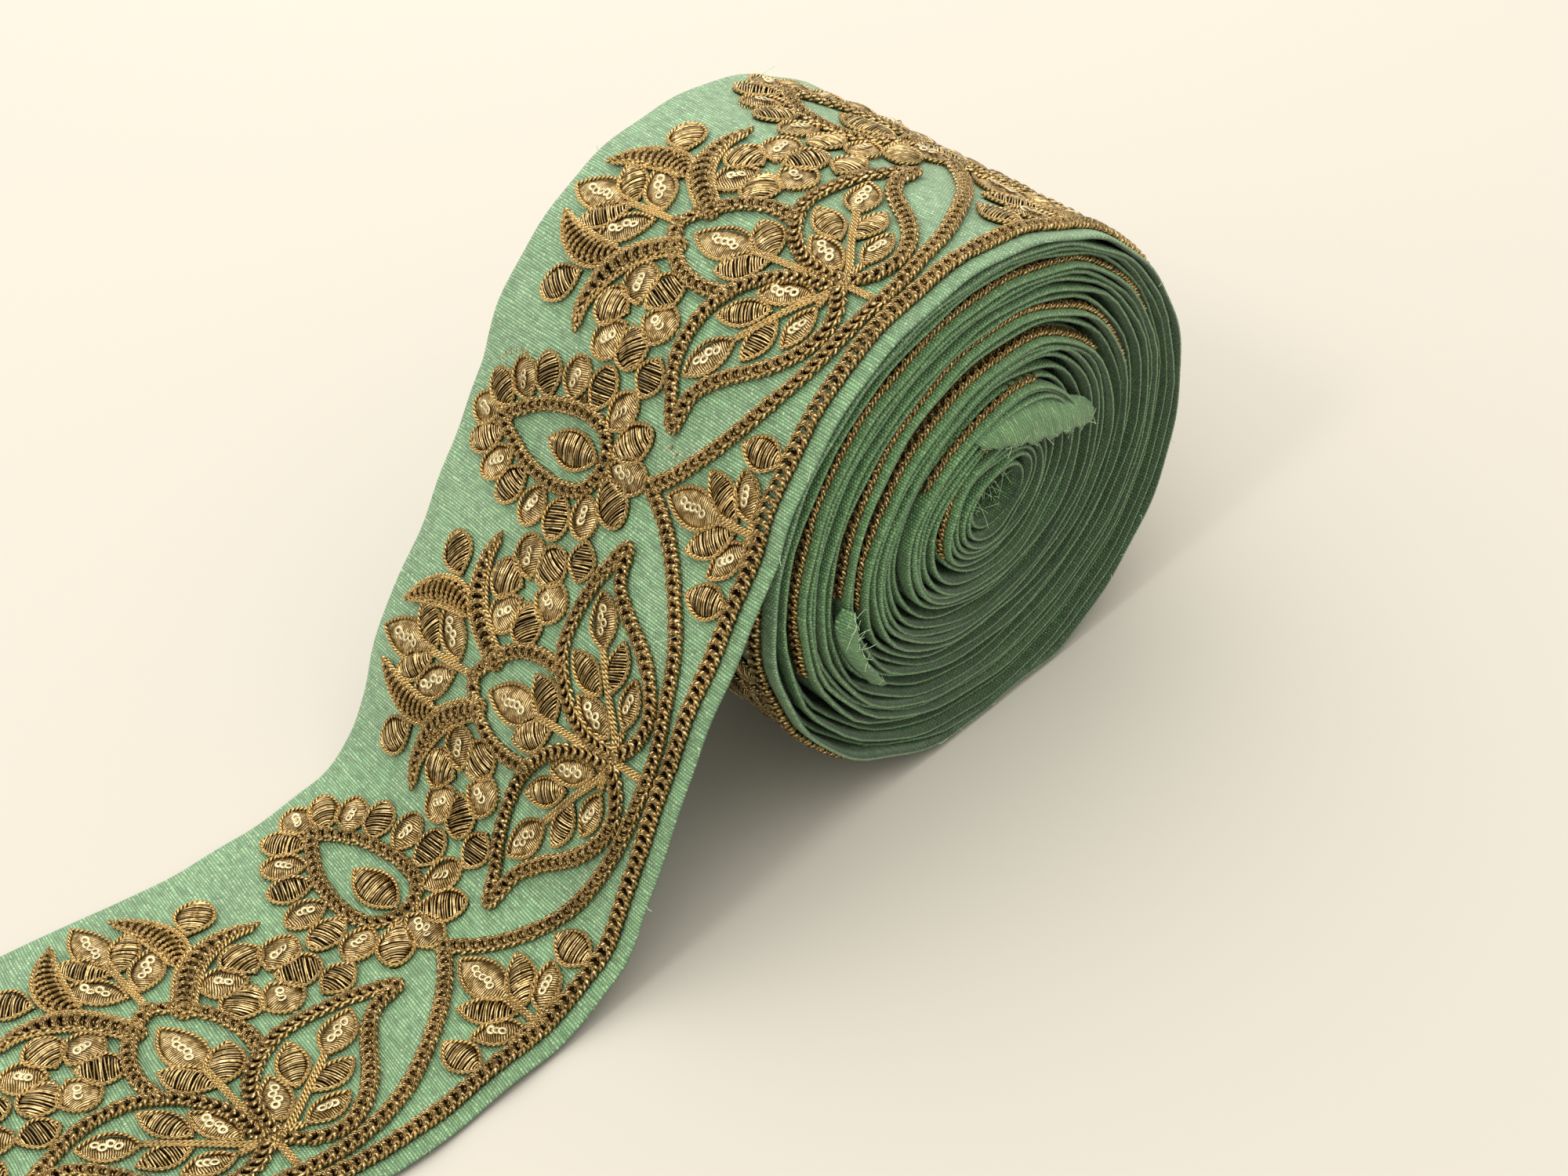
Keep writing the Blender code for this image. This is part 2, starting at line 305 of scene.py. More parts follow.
# Stage
FLOOR_REACH = 3.0
SKY_COLOUR = (1.0, 0.962, 0.885, 1.0)
SKY_AT_FLOOR = 0.52
SKY_OVERHEAD = 1.9
SKY_FAR_SIDE = 0.2
LIGHT_COLOUR = (1.0, 0.97, 0.92)
LIGHT_AIM = (0.0, 0.0, 0.05)
LIGHTS = (
    {"name": "key_light", "place": (0.34, 0.42, 0.55), "size": 0.9, "power": 2.6},
    {"name": "side_light", "place": (-0.8, -0.1, 1.0), "size": 0.2, "power": 2.7},
)
CAMERA_ANGLES = (-37.63, 38.9, -10.27)
CAMERA_PLACE = (-0.3155, -0.3857, 0.4088)


def mix(a, b, share):
    return a + (b - a) * share


def smooth_line(points, steps):
    """Catmull-Rom line through the points, with the given number of steps between neighbours."""
    points = np.asarray(points, float)
    padded = np.vstack([2 * points[0] - points[1], points, 2 * points[-1] - points[-2]])
    t = (np.arange(steps) / steps)[:, None]
    parts = []
    for p0, p1, p2, p3 in zip(padded, padded[1:], padded[2:], padded[3:]):
        parts.append(0.5 * (2 * p1 + (p2 - p0) * t + (2 * p0 - 5 * p1 + 4 * p2 - p3) * t**2
                            + (3 * p1 - p0 - 3 * p2 + p3) * t**3))
    return np.vstack(parts + [points[-1:]])


def turn_points(turns, end, pitch):
    """Points (x, z) of the spiral at one end of the roll; it turns clockwise from the top."""
    angle = np.radians(90.0 - 360.0 * turns)
    share = pitch * np.maximum(turns - 1.0, 0.0) / ROLL_HALF_HEIGHT
    tilt = np.radians(mix(ROLL_TILT, CORE_TILT, share))
    half_height = ROLL_HALF_HEIGHT * mix(1.0, CORE_FLATTENING, share)
    radius = 1.0 / np.hypot(
        np.cos(angle - tilt) / ROLL_HALF_LENGTH, np.sin(angle - tilt) / half_height)
    radius = (radius - FIRST_TURN_STEP * np.minimum(turns, 1.0)) * (1.0 - share)
    uneven = np.sin(3 * angle + 9 * share) + np.sin(2 * angle - 31 * share + 1.0)
    bunched = np.sin(43.0 * share + 0.8 * np.sin(angle))
    inside = np.clip(4 * share, 0.0, 1.0) * np.clip(4 - 4 * share, 0.0, 1.0)
    loose = np.sin(2 * angle + 70 * share) * np.clip(3 * share - 1.6, 0.0, 1.0)
    radius += (UNEVEN_TURNS * uneven + BUNCHED_TURNS * bunched + LOOSE_CORE * loose) * inside
    tight = np.exp(3.0 * (np.cos(angle - TIGHT_SIDE) - 1.0))
    radius += TIGHT_SIDE_SHIFT * tight * np.clip(8 * share, 0, 1) * np.clip(1.6 - 2 * share, 0, 1)
    centre = [mix(a, b, share) for a, b in zip(ROLL_CENTRE[end], CORE_CENTRE[end])]
    return centre[0] + radius * np.cos(angle), centre[1] + radius * np.sin(angle)


def edge_retreat(turns, end):
    """How far an edge stands back from the band's full width."""
    inside = np.clip(turns - 0.9, 0.0, 1.0)
    waves = 0.5 + np.sin(2.3 * turns * math.tau) + np.sin(0.61 * turns * math.tau + 1.0)
    if end == "far":
        steady = FAR_EDGE_STEP * np.clip(turns - 0.9, 0.0, None)
    else:
        steady = np.interp(turns, *zip(*EDGE_STEPS))
    return steady + inside * EDGE_WAVE[end] * waves


class WoundBand:
    """Where each point of the band lies: along it from the foot of the slope, and across it."""

    def __init__(self, pitch, turns):
        count = int(TURN_SAMPLES * (turns - LEAVES_ROLL))
        wound = np.linspace(LEAVES_ROLL, turns, count)
        self.edges, self.normals = {}, {}
        for end, side in (("near", -1.0), ("far", 1.0)):
            x, z = turn_points(wound, end, pitch)
            y = side * (BAND_WIDTH / 2 - edge_retreat(wound, end))
            spiral = np.stack([x, y, np.maximum(z, LOWEST_CLOTH)], 1)
            slope = smooth_line([row[end] for row in LOOSE_END_SECTIONS] + [spiral[0]], SLOPE_STEPS)
            slope[:, 2] = np.maximum(slope[:, 2], FLAT_HEIGHT)
            path = np.vstack([slope[:-1], spiral])
            run = np.gradient(path[:, [0, 2]], axis=0)
            run /= np.linalg.norm(run, axis=1)[:, None]
            self.edges[end] = path
            self.normals[end] = np.stack([-run[:, 1], 0 * run[:, 0], run[:, 0]], 1)
        middle = (self.edges["near"] + self.edges["far"]) / 2
        length = np.linalg.norm(np.diff(middle, axis=0), axis=1)
        self.along = np.concatenate([[0.0], np.cumsum(length)])
        self.along -= self.along[FOOT_OF_SLOPE * SLOPE_STEPS]
        slope_count = len(self.along) - count
        self.turns = np.concatenate([np.full(slope_count, LEAVES_ROLL), wound])

    def at_turn(self, turns):
        return float(np.interp(turns, self.turns, self.along))

    def place(self, along, across, height):
        """Points on the band, in millimetres, for arrays of places on it and heights above it."""
        share = (np.asarray(across, float) / BAND_WIDTH)[:, None]
        picked = []
        for line in (self.edges["near"], self.edges["far"], self.normals["near"], self.normals["far"]):
            picked.append(np.stack([np.interp(along, self.along, line[:, k]) for k in range(3)], 1))
        point = mix(picked[0], picked[1], share)
        normal = mix(picked[2], picked[3], share)
        normal /= np.linalg.norm(normal, axis=1)[:, None]
        wide, fine = PUCKER_HEIGHTS
        pucker = (wide * np.sin(along * 0.31 + across * 0.05)
                  + fine * np.sin(along * 0.17 - across * 0.08))
        point = point + normal * (height + pucker * np.clip(along + 40, 0, 30) / 30)[:, None]
        point[:, 2] = np.maximum(point[:, 2], LOWEST_POINT)
        return point


@functools.lru_cache(maxsize=1)
def wound_band():
    cloth = bpy.context.scene.trim_cloth
    return WoundBand(cloth.turn_pitch / MM, cloth.turns)


# Node helpers

def feed(tree, socket, value):
    """Links a socket given as the value, and sets any other value."""
    if isinstance(value, bpy.types.NodeSocket):
        tree.links.new(value, socket)
    else:
        socket.default_value = value


def node(tree, kind, inputs=None, **settings):
    """Adds a node with its settings and inputs."""
    made = tree.nodes.new(kind)
    for name, value in settings.items():
        setattr(made, name, value)
    for key, value in (inputs or {}).items():
        feed(tree, made.inputs[key], value)
    return made


def math_node(tree, operation, a, b=0.0, c=0.0):
    return node(tree, "ShaderNodeMath", {0: a, 1: b, 2: c}, operation=operation).outputs[0]


def product(tree, a, b):
    return math_node(tree, "MULTIPLY", a, b)


def ranged(tree, value, low, high, to_low=0.0, to_high=1.0):
    made = node(tree, "ShaderNodeMapRange", {"Value": value, "From Min": low, "From Max": high,
                                             "To Min": to_low, "To Max": to_high})
    return made.outputs[0]


def mixed_colour(tree, share, a, b, blend="MIX"):
    made = node(tree, "ShaderNodeMix", {0: share, 6: a, 7: b}, data_type="RGBA", blend_type=blend)
    return made.outputs[2]


def combined(tree, x, y, z=0.0):
    return node(tree, "ShaderNodeCombineXYZ", {0: x, 1: y, 2: z}).outputs[0]


def noise(tree, place, scale=1.0, detail=2.0):
    made = node(tree, "ShaderNodeTexNoise", {"Vector": place, "Scale": scale, "Detail": detail})
    return made.outputs[0]


def ridges(tree, value, pitch=1.0):
    """Rounded ridges from 0 to 1, one for each pitch of the value."""
    wave = math_node(tree, "SINE", product(tree, value, math.pi / pitch))
    return math_node(tree, "ABSOLUTE", wave)


def stored_value(tree, name):
    return node(tree, "ShaderNodeAttribute", attribute_name=name).outputs["Fac"]


def node_group(kind, name, inputs, outputs):
    """Node group with named inputs and outputs, with its input and output nodes."""
    tree = bpy.data.node_groups.new(name, kind)
    for in_out, sockets in (("INPUT", inputs), ("OUTPUT", outputs)):
        for label, socket_type, default in sockets:
            socket = tree.interface.new_socket(label, in_out=in_out, socket_type=socket_type)
            if default is not None:
                socket.default_value = default
    return tree, node(tree, "NodeGroupInput"), node(tree, "NodeGroupOutput")


FLOAT, GEOMETRY, MATERIAL = "NodeSocketFloat", "NodeSocketGeometry", "NodeSocketMaterial"


def shader_group(name, inputs, outputs):
    return node_group("ShaderNodeTree", name, inputs, outputs)


def geometry_group(name, inputs):
    solid = [("Geometry", GEOMETRY, None)]
    tree, start, end = node_group("GeometryNodeTree", name, solid + inputs, solid)
    tree.is_modifier = True
    return tree, start, end


def grouped(tree, group, inputs):
    return node(tree, "ShaderNodeGroup", inputs, node_tree=group).outputs


# Shared effects

@functools.lru_cache(maxsize=None)
def woven_slub():
    """Plain weave of silk with thick slubs across the band, from a place on the cloth in millimetres."""
    tree, start, end = shader_group(
        "slub_weave",
        [("Along", FLOAT, 0.0), ("Across", FLOAT, 0.0), ("Rib pitch", FLOAT, 0.75),
         ("Thread pitch", FLOAT, 0.8)],
        [("Weave", FLOAT, None), ("Slub", FLOAT, None), ("Fleck", FLOAT, None),
         ("Crossing", FLOAT, None)])
    along, across = start.outputs["Along"], start.outputs["Across"]

    def stretched(along_scale, across_scale, detail=2.0):
        place = combined(tree, product(tree, along, along_scale), product(tree, across, across_scale))
        return noise(tree, place, 1.0, detail)

    moved = math_node(tree, "MULTIPLY_ADD", stretched(0.35, 0.06), 1.6, along)
    rib_turns = math_node(tree, "DIVIDE", moved, start.outputs["Rib pitch"])
    row = math_node(tree, "FLOOR", rib_turns)
    thread_turns = math_node(tree, "MULTIPLY_ADD", row, 0.5, math_node(
        tree, "DIVIDE", across, start.outputs["Thread pitch"]))
    thread = math_node(tree, "MULTIPLY_ADD", ridges(tree, thread_turns), 0.75, 0.25)
    crossing = combined(tree, row, math_node(tree, "FLOOR", thread_turns))
    picked = node(tree, "ShaderNodeTexWhiteNoise", {"Vector": crossing}, noise_dimensions="2D")
    for label, value in (("Weave", product(tree, ridges(tree, rib_turns), thread)),
                         ("Slub", stretched(0.8, 0.3)), ("Fleck", stretched(1.5, 1.1, 3.0)),
                         ("Crossing", picked.outputs[0])):
        tree.links.new(value, end.inputs[label])
    return tree


@functools.lru_cache(maxsize=None)
def plied_twist():
    """Slanting plies of a twisted cord, from its own along and around values."""
    tree, start, end = shader_group(
        "plied_twist", [("Ply length", FLOAT, 0.9), ("Plies", FLOAT, 2.0)],
        [("Ridge", FLOAT, None), ("Fibre", FLOAT, None)])
    around = stored_value(tree, "around")
    turns = math_node(tree, "DIVIDE", stored_value(tree, "along"), start.outputs["Ply length"])
    slant = math_node(tree, "ADD", turns, product(tree, around, start.outputs["Plies"]))
    place = combined(tree, product(tree, slant, 3.1), product(tree, around, 2.0))
    tree.links.new(ridges(tree, slant), end.inputs["Ridge"])
    tree.links.new(noise(tree, place, 1.0, 3.0), end.inputs["Fibre"])
    return tree


@functools.lru_cache(maxsize=None)
def patchy_tone():
    """Slow patches and fine glints over the object's own coordinates, their sizes in millimetres."""
    tree, start, end = shader_group(
        "patchy_tone", [("Patch size", FLOAT, 12.0), ("Glint size", FLOAT, 0.5)],
        [("Patch", FLOAT, None), ("Glint", FLOAT, None)])
    place = node(tree, "ShaderNodeTexCoord").outputs["Object"]
    for label in ("Patch", "Glint"):
        scale = math_node(tree, "DIVIDE", 1.0 / MM, start.outputs[label + " size"])
        tree.links.new(noise(tree, place, scale), end.inputs[label])
    return tree


# Materials

def new_material(name, fixed):
    """Material with its tree and shader, and the values that are the same all over it."""
    material = bpy.data.materials.new(name)
    material.use_nodes = True
    shader = material.node_tree.nodes["Principled BSDF"]
    for label, value in fixed.items():
        shader.inputs[label].default_value = value
    return material, material.node_tree, shader


def finished(material, shader, linked, height=None, depth=0.0, strength=1.0):
    """Links what changes over a surface to its shader, and the bumps where it has any."""
    tree = material.node_tree
    if height is not None:
        bump = node(tree, "ShaderNodeBump", {"Height": height, "Strength": strength, "Distance": depth})
        linked = dict(linked, Normal=bump.outputs[0])
    for label, value in linked.items():
        tree.links.new(value, shader.inputs[label])
    return material


def shaded(colour, factor=1.0):
    return (*(channel * factor for channel in colour[:3]), 1.0)


@functools.lru_cache(maxsize=None)
def cloth_material():
    cloth = bpy.context.scene.trim_cloth
    shades = {name: shaded(cloth.colour, factor) for name, factor in SILK_SHADES.items()}
    material, tree, shader = new_material(
        "slub_silk", {"Specular IOR Level": 0.85, "Sheen Weight": 0.2, "Sheen Roughness": 0.4})
    cloth_map = node(tree, "ShaderNodeUVMap", uv_map="cloth").outputs[0]
    place = node(tree, "ShaderNodeSeparateXYZ", {0: cloth_map})
    along, across = (product(tree, place.outputs[axis], 1.0 / MM) for axis in (0, 1))
    weave = grouped(tree, woven_slub(), {"Along": along, "Across": across,
                                         "Rib pitch": cloth.rib_pitch / MM})
    patch = grouped(tree, patchy_tone(), {"Patch size": SILK_PATCH})
    colour = mixed_colour(tree, ranged(tree, weave["Slub"], 0.3, 0.64), shades["slub"], shades["bright"])
    colour = mixed_colour(tree, ranged(tree, patch["Patch"], 0.35, 0.6, 0.4, 0.0), colour,
                          shades["slub"])
    # Painted highlights: glints of light on the threads at random crossings of the weave, in the pale
    # glint colour
    painted_light_share = product(tree, ranged(tree, weave["Crossing"], 0.45, 1.0),
                    ranged(tree, weave["Fleck"], 0.35, 0.65, 0.35, 1.0))
    colour = mixed_colour(tree, product(tree, painted_light_share, weave["Weave"]), colour,
                          shaded(cloth.painted_glint_colour))
    # Painted shade in the gaps between the woven threads
    colour = mixed_colour(tree, ranged(tree, weave["Weave"], 0.0, 0.45), shades["painted_gap_shade"], colour)
    # Painted shade in the groove of the hem's seam
    seam_start, seam_middle, seam_end = SEAM_SHADE_ACROSS
    hem = ranged(tree, across, seam_middle, seam_end, 1.0, 0.0)
    painted_seam_shade = product(tree, hem, ranged(tree, across, seam_start, seam_middle))
    colour = mixed_colour(tree, product(tree, painted_seam_shade, 0.7), colour, shades["painted_seam_shade"])
    # Painted shade over the whole hem
    colour = mixed_colour(tree, hem, colour, HEM_PAINTED_SHADE, "MULTIPLY")
    # Painted shade over the wound turns of the end face, from about one turn in
    wound = ranged(tree, along, *(wound_band().at_turn(turn) for turn in WOUND_SHADE_TURNS))
    colour = mixed_colour(tree, wound, colour, WOUND_PAINTED_SHADE, "MULTIPLY")
    # Painted shade under the band's edge, in the dark gaps between the turns
    low, lower_middle, upper_middle, high = SHADE_UNDER_EDGE_ACROSS
    painted_shade_under_edge = product(tree, ranged(tree, across, upper_middle, high, 0.85, 0.0),
                     ranged(tree, across, low, lower_middle, 0.42, 1.0))
    colour = mixed_colour(tree, painted_shade_under_edge, colour, shades["painted_shade_under_edge"])
    rough = ranged(tree, weave["Fleck"], 0.3, 0.8, 0.56, 0.38)
    return finished(
        material, shader,
        {"Base Color": colour, "Roughness": math_node(tree, "MULTIPLY_ADD", painted_shade_under_edge, 0.5, rough)},
        math_node(tree, "MULTIPLY_ADD", weave["Slub"], 0.45, weave["Weave"]), 0.0003, 0.9)


@functools.lru_cache(maxsize=None)
def fray_material():
    cloth = bpy.context.scene.trim_cloth
    # Frayed threads take the pale colour of the painted glints as their own colour
    return new_material("frayed_silk", {"Base Color": shaded(cloth.painted_glint_colour), "Roughness": 0.5})[0]


def twisted_thread(name, brightness):
    """Plied metal thread; its brightness scales the colour of the plies."""
    metal = bpy.context.scene.trim_metal
    material, tree, shader = new_material(name, {"Metallic": 0.85})
    twist = grouped(tree, plied_twist(), {"Ply length": 1.05})
    patch = grouped(tree, patchy_tone(), {})
    tone = mixed_colour(tree, ranged(tree, patch["Patch"], 0.3, 0.7),
                        shaded(metal.thread_colour, 0.7 * brightness),
                        shaded(metal.thread_colour, 1.25 * brightness))
    # Painted highlights: sparkles of light on the plies, in the strands' bright colour
    painted_sparkle = mixed_colour(tree, ranged(tree, patch["Glint"], 0.5, 0.62), tone,
                         shaded(metal.strand_colour, 1.3))
    # Painted shade in the grooves between the plies
    painted_groove_shade = mixed_colour(tree, ranged(tree, twist["Ridge"], 0.1, 0.75),
                        shaded(metal.thread_colour, 0.12), painted_sparkle)
    return finished(
        material, shader,
        {"Base Color": painted_groove_shade, "Roughness": ranged(tree, twist["Fibre"], 0.3, 0.7, 0.16, 0.4)},
        math_node(tree, "MULTIPLY_ADD", twist["Fibre"], 0.3, twist["Ridge"]), 0.00045)


@functools.lru_cache(maxsize=None)
def thread_material():
    return twisted_thread("gold_thread", 1.0)


@functools.lru_cache(maxsize=None)
def outline_material():
    return twisted_thread("outline_thread", 1.65)


@functools.lru_cache(maxsize=None)
def strand_material():
    metal = bpy.context.scene.trim_metal
    material, tree, shader = new_material("metal_strand", {"Metallic": 1.0})
    pick = stored_value(tree, "pick")
    patch = grouped(tree, patchy_tone(), {"Glint size": 1.4})
    # Each strand is lighter or darker at random: partly its own tone, partly painted reflection of the
    # surroundings
    tone = mixed_colour(tree, pick, shaded(metal.strand_colour, 0.2), shaded(metal.strand_colour, 1.33))
    tone = mixed_colour(tree, ranged(tree, patch["Glint"], 0.35, 0.6),
                        shaded(metal.thread_colour, 0.5), tone)
    return finished(material, shader, {
        "Base Color": tone, "Roughness": ranged(tree, pick, 0.0, 1.0, 0.14, 0.26)})


@functools.lru_cache(maxsize=None)
def padding_material():
    """Satin stitches over a leaf's padding: bright under sequins, and painted shade under loose strands
    and on the strips of painted shade.
    """
    metal = bpy.context.scene.trim_metal
    material, tree, shader = new_material("satin_padding_and_painted_shade", {"Metallic": 0.85, "Roughness": 0.24})
    patch = grouped(tree, patchy_tone(), {"Patch size": 3.0, "Glint size": 1.6})
    moved = math_node(tree, "MULTIPLY_ADD", patch["Patch"], 0.9, stored_value(tree, "along"))
    stitch = ridges(tree, moved, 0.5)
    # Painted highlights: glints of light on the satin, in the strands' bright colour
    gold = mixed_colour(tree, ranged(tree, patch["Glint"], 0.4, 0.6), shaded(metal.thread_colour, 0.8),
                        shaded(metal.strand_colour, 1.25))
    lined = mixed_colour(tree, ranged(tree, stitch, 0.1, 0.8), shaded(metal.thread_colour, 0.15), gold)
    # Painted shade where the bright value is low: under loose strands and on the strips of painted shade
    colour = mixed_colour(tree, stored_value(tree, "bright"), shaded(metal.thread_colour, 0.14), lined)
    return finished(material, shader, {"Base Color": colour}, stitch, 0.00025)


@functools.lru_cache(maxsize=None)
def sequin_material():
    metal = bpy.context.scene.trim_metal
    material, tree, shader = new_material("sequin", {"Metallic": 0.9})
    patch = grouped(tree, patchy_tone(), {"Patch size": 2.5, "Glint size": 0.8})
    tone = mixed_colour(tree, ranged(tree, patch["Patch"], 0.35, 0.65),
                        shaded(metal.sequin_colour, 0.7), shaded(metal.sequin_colour))
    return finished(material, shader, {
        "Base Color": tone, "Roughness": ranged(tree, patch["Glint"], 0.3, 0.7, 0.2, 0.42)})


# Guides and what grows on them

def raised(line, height):
    """A flat line at a height above the cloth."""
    return np.column_stack([line, np.full(len(line), height)])


class Guides:
    """Lines, in millimetres, with a half width at each point."""

    def __init__(self):
        self.points, self.edges, self.widths = [], [], []

    def add(self, line, half_width=1.0, closed=False):
        start = sum(len(part) for part in self.points)
        self.points.append(line)
        self.widths.append(np.broadcast_to(np.asarray(half_width, float), (len(line),)))
        index = np.arange(start, start + len(line))
        self.edges.append(np.stack([index[:-1], index[1:]], 1))
        if closed:
            self.edges.append(np.array([[index[-1], index[0]]]))

    def to_object(self, name):
        mesh = bpy.data.meshes.new(name)
        mesh.from_pydata(np.vstack(self.points), np.vstack(self.edges).tolist(), [])
        width = mesh.attributes.new("half_width", "FLOAT", "POINT")
        width.data.foreach_set("value", np.concatenate(self.widths).astype(np.float32))
        obj = bpy.data.objects.new(name, mesh)
        bpy.context.scene.collection.objects.link(obj)
        return obj


def mesh_arrays(mesh):
    """Points, corners, face sizes and values of a mesh."""
    points = np.empty(len(mesh.vertices) * 3, np.float32)
    mesh.vertices.foreach_get("co", points)
    corners = np.empty(len(mesh.loops), np.int32)
    mesh.loops.foreach_get("vertex_index", corners)
    sizes = np.empty(len(mesh.polygons), np.int32)
    mesh.polygons.foreach_get("loop_total", sizes)
    values = {}
    for name in ("along", "around", "pick"):
        attribute = mesh.attributes.get(name)
        if attribute is not None and attribute.domain == "POINT":
            values[name] = np.empty(len(mesh.vertices), np.float32)
            attribute.data.foreach_get("value", values[name])
    return points.reshape(-1, 3).astype(float), corners, sizes, values


def grown(guides, tree, values):
    """Arrays of the flat mesh that a node tree grows on the guides, in millimetres."""
    guide = guides.to_object(tree.name + "_guide")
    modifier = guide.modifiers.new(tree.name, "NODES")
    modifier.node_group = tree
    for item in tree.interface.items_tree:
        if item.in_out == "INPUT" and item.name in values:
            modifier[item.identifier] = values[item.name]
    graph = bpy.context.evaluated_depsgraph_get()
    mesh = bpy.data.meshes.new_from_object(guide.evaluated_get(graph))
    arrays = mesh_arrays(mesh)
    old = guide.data
    bpy.data.objects.remove(guide)
    bpy.data.meshes.remove(old)
    bpy.data.meshes.remove(mesh)
    return arrays


def new_piece(name, points, corners, sizes, values, material):
    """Mesh object from arrays, its points in millimetres, that rides on the root."""
    mesh = bpy.data.meshes.new(name)
    mesh.vertices.add(len(points))
    mesh.vertices.foreach_set("co", (np.asarray(points) * MM).astype(np.float32).ravel())
    mesh.loops.add(len(corners))
    mesh.loops.foreach_set("vertex_index", corners.astype(np.int32))
    mesh.polygons.add(len(sizes))
    mesh.polygons.foreach_set("loop_start", (np.cumsum(sizes) - sizes).astype(np.int32))
    mesh.polygons.foreach_set("use_smooth", np.ones(len(sizes), bool))
    for key, data in values.items():
        attribute = mesh.attributes.new(key, "FLOAT", "POINT")
        attribute.data.foreach_set("value", data.astype(np.float32))
    mesh.update(calc_edges=True)
    mesh.validate()
    mesh.materials.append(material)
    obj = bpy.data.objects.new(name, mesh)
    bpy.context.scene.collection.objects.link(obj)
    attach(obj, "root")
    return obj


def laid_copies(name, flat, material):
    """Copies of a flat repeat laid along the band, in as few pieces as its triangles allow."""
    points, corners, sizes, values = flat
    across = points[:, 1]
    band = wound_band()
    first, last = band.along[0] + CUT_END_MARGIN, band.at_turn(TUCKED_UNDER)
    face_start = np.cumsum(sizes) - sizes
    face_of = np.repeat(np.arange(len(sizes)), sizes)
    in_one = max(1, MOST_TRIANGLES // int((sizes - 2).sum()))
    copies = range(FIRST_COPY, LAST_COPY)
    made = 0
    for start in range(0, len(copies), in_one):
        parts = []
        for copy in copies[start:start + in_one]:
            along = points[:, 0] + FIRST_LOTUS + copy * REPEAT - SKEW * across
            on_band = (along > first) & (along < last)
            kept_face = np.minimum.reduceat(on_band[corners].astype(int), face_start) > 0
            used, index = np.unique(corners[kept_face[face_of]], return_inverse=True)
            if len(used):
                laid = band.place(along[used], across[used], points[used, 2] - FIELD_LEVEL)
                parts.append((laid, index, sizes[kept_face], {k: v[used] for k, v in values.items()}))
        if parts:
            made += 1
            laid, index, faces, kept_values = zip(*parts)
            shift = np.cumsum([0] + [len(part) for part in laid])
            new_piece(f"{name}_{made}", np.vstack(laid),
                      np.concatenate([part + move for part, move in zip(index, shift)]),
                      np.concatenate(faces),
                      {k: np.concatenate([part[k] for part in kept_values]) for k in values}, material)


def grow_copies(name, guides, tree, material, sizes):
    """Grows one repeat on its guides and lays copies of it along the band."""
    laid_copies(name, grown(guides, tree, dict(sizes, Material=material)), material)


def ring_faces(count, width):
    """Corners and sizes of the faces of a closed tube of rings, one after another, with its ends."""
    base = np.arange(count - 1)[:, None] * width + np.arange(width)[None]
    after = np.arange(count - 1)[:, None] * width + (np.arange(width)[None] + 1) % width
    quads = np.stack([base, base + width, after + width, after], 2).reshape(-1, 4)
    ends = [np.arange(width), (count - 1) * width + np.arange(width)[::-1]]
    return (np.concatenate([quads.ravel()] + ends),
            np.concatenate([np.full(len(quads), 4), [width, width]]))


def set_cloth_places(piece, along, across):
    """Writes each point's place on the cloth, in millimetres, as the map that the weave reads."""
    layer = piece.data.uv_layers.new(name="cloth")
    order = np.empty(len(piece.data.loops), np.int32)
    piece.data.loops.foreach_get("vertex_index", order)
    places = np.stack([along[order], across[order]], 1) * MM
    layer.data.foreach_set("uv", places.astype(np.float32).ravel())


def both_sides(row, points):
    """Points of a table row in the repeat's own place, and mirrored where the row is a pair."""
    for side in (1, -1) if row["pair"] else (1,):
        yield np.asarray(points, float) * (side, 1) + (MOTIF_MIDDLE[row["motif"]], 0)


def horn_lines(*rows):
    """Middle line and half widths of parts of the horned leaves, on both sides of the plant."""
    for row in rows:
        for line in both_sides(row, row["points"]):
            smooth = smooth_line(np.column_stack([line, row["half_widths"]]), 6)
            yield smooth[:, :2], smooth[:, 2]


def beside(line, offset, height):
    """A flat line moved sideways by the offset, at a height above the cloth."""
    run = np.gradient(line, axis=0)
    run /= np.linalg.norm(run, axis=1)[:, None]
    return raised(line + np.stack([-run[:, 1], run[:, 0]], 1) * np.reshape(offset, (-1, 1)), height)


def all_leaves(fill=None):
    """Leaves and petals of one repeat, all of them or those with one fill."""
    rows = list(LEAVES)
    for petal in LOTUS_PETALS:
        way = np.subtract(petal["tip"], petal["base"])
        base = petal["base"] - PETAL_UNDER_RING * way / np.linalg.norm(way)
        rows.append(dict(petal, motif="lotus", pair=True, shape="petal", base=base))
    rows.append(dict(LOTUS_TIP_PETAL, motif="lotus", pair=False, shape="petal"))
    for number in range(FLOWER_PETALS):
        angle = math.radians(FLOWER_START + number * 360 / FLOWER_PETALS)
        way = np.array([math.cos(angle), math.sin(angle)])
        rows.append({
            "motif": "plant", "pair": True, "shape": "petal", "width": FLOWER_PETAL_WIDTH,
            "base": FLOWER_CENTRE + way * FLOWER_INNER, "tip": FLOWER_CENTRE + way * FLOWER_OUTER,
            "fill": "sequins" if number % 2 == 0 else "strands"})
    return [dict(row, base=base, tip=tip) for row in rows if fill in (None, row["fill"])
            for base, tip in both_sides(row, (row["base"], row["tip"]))]


def leaf_way(leaf):
    """Length of a leaf, and unit steps along it and to its left."""
    way = leaf["tip"] - leaf["base"]
    length = np.linalg.norm(way)
    way = way / length
    return length, way, np.array([-way[1], way[0]])


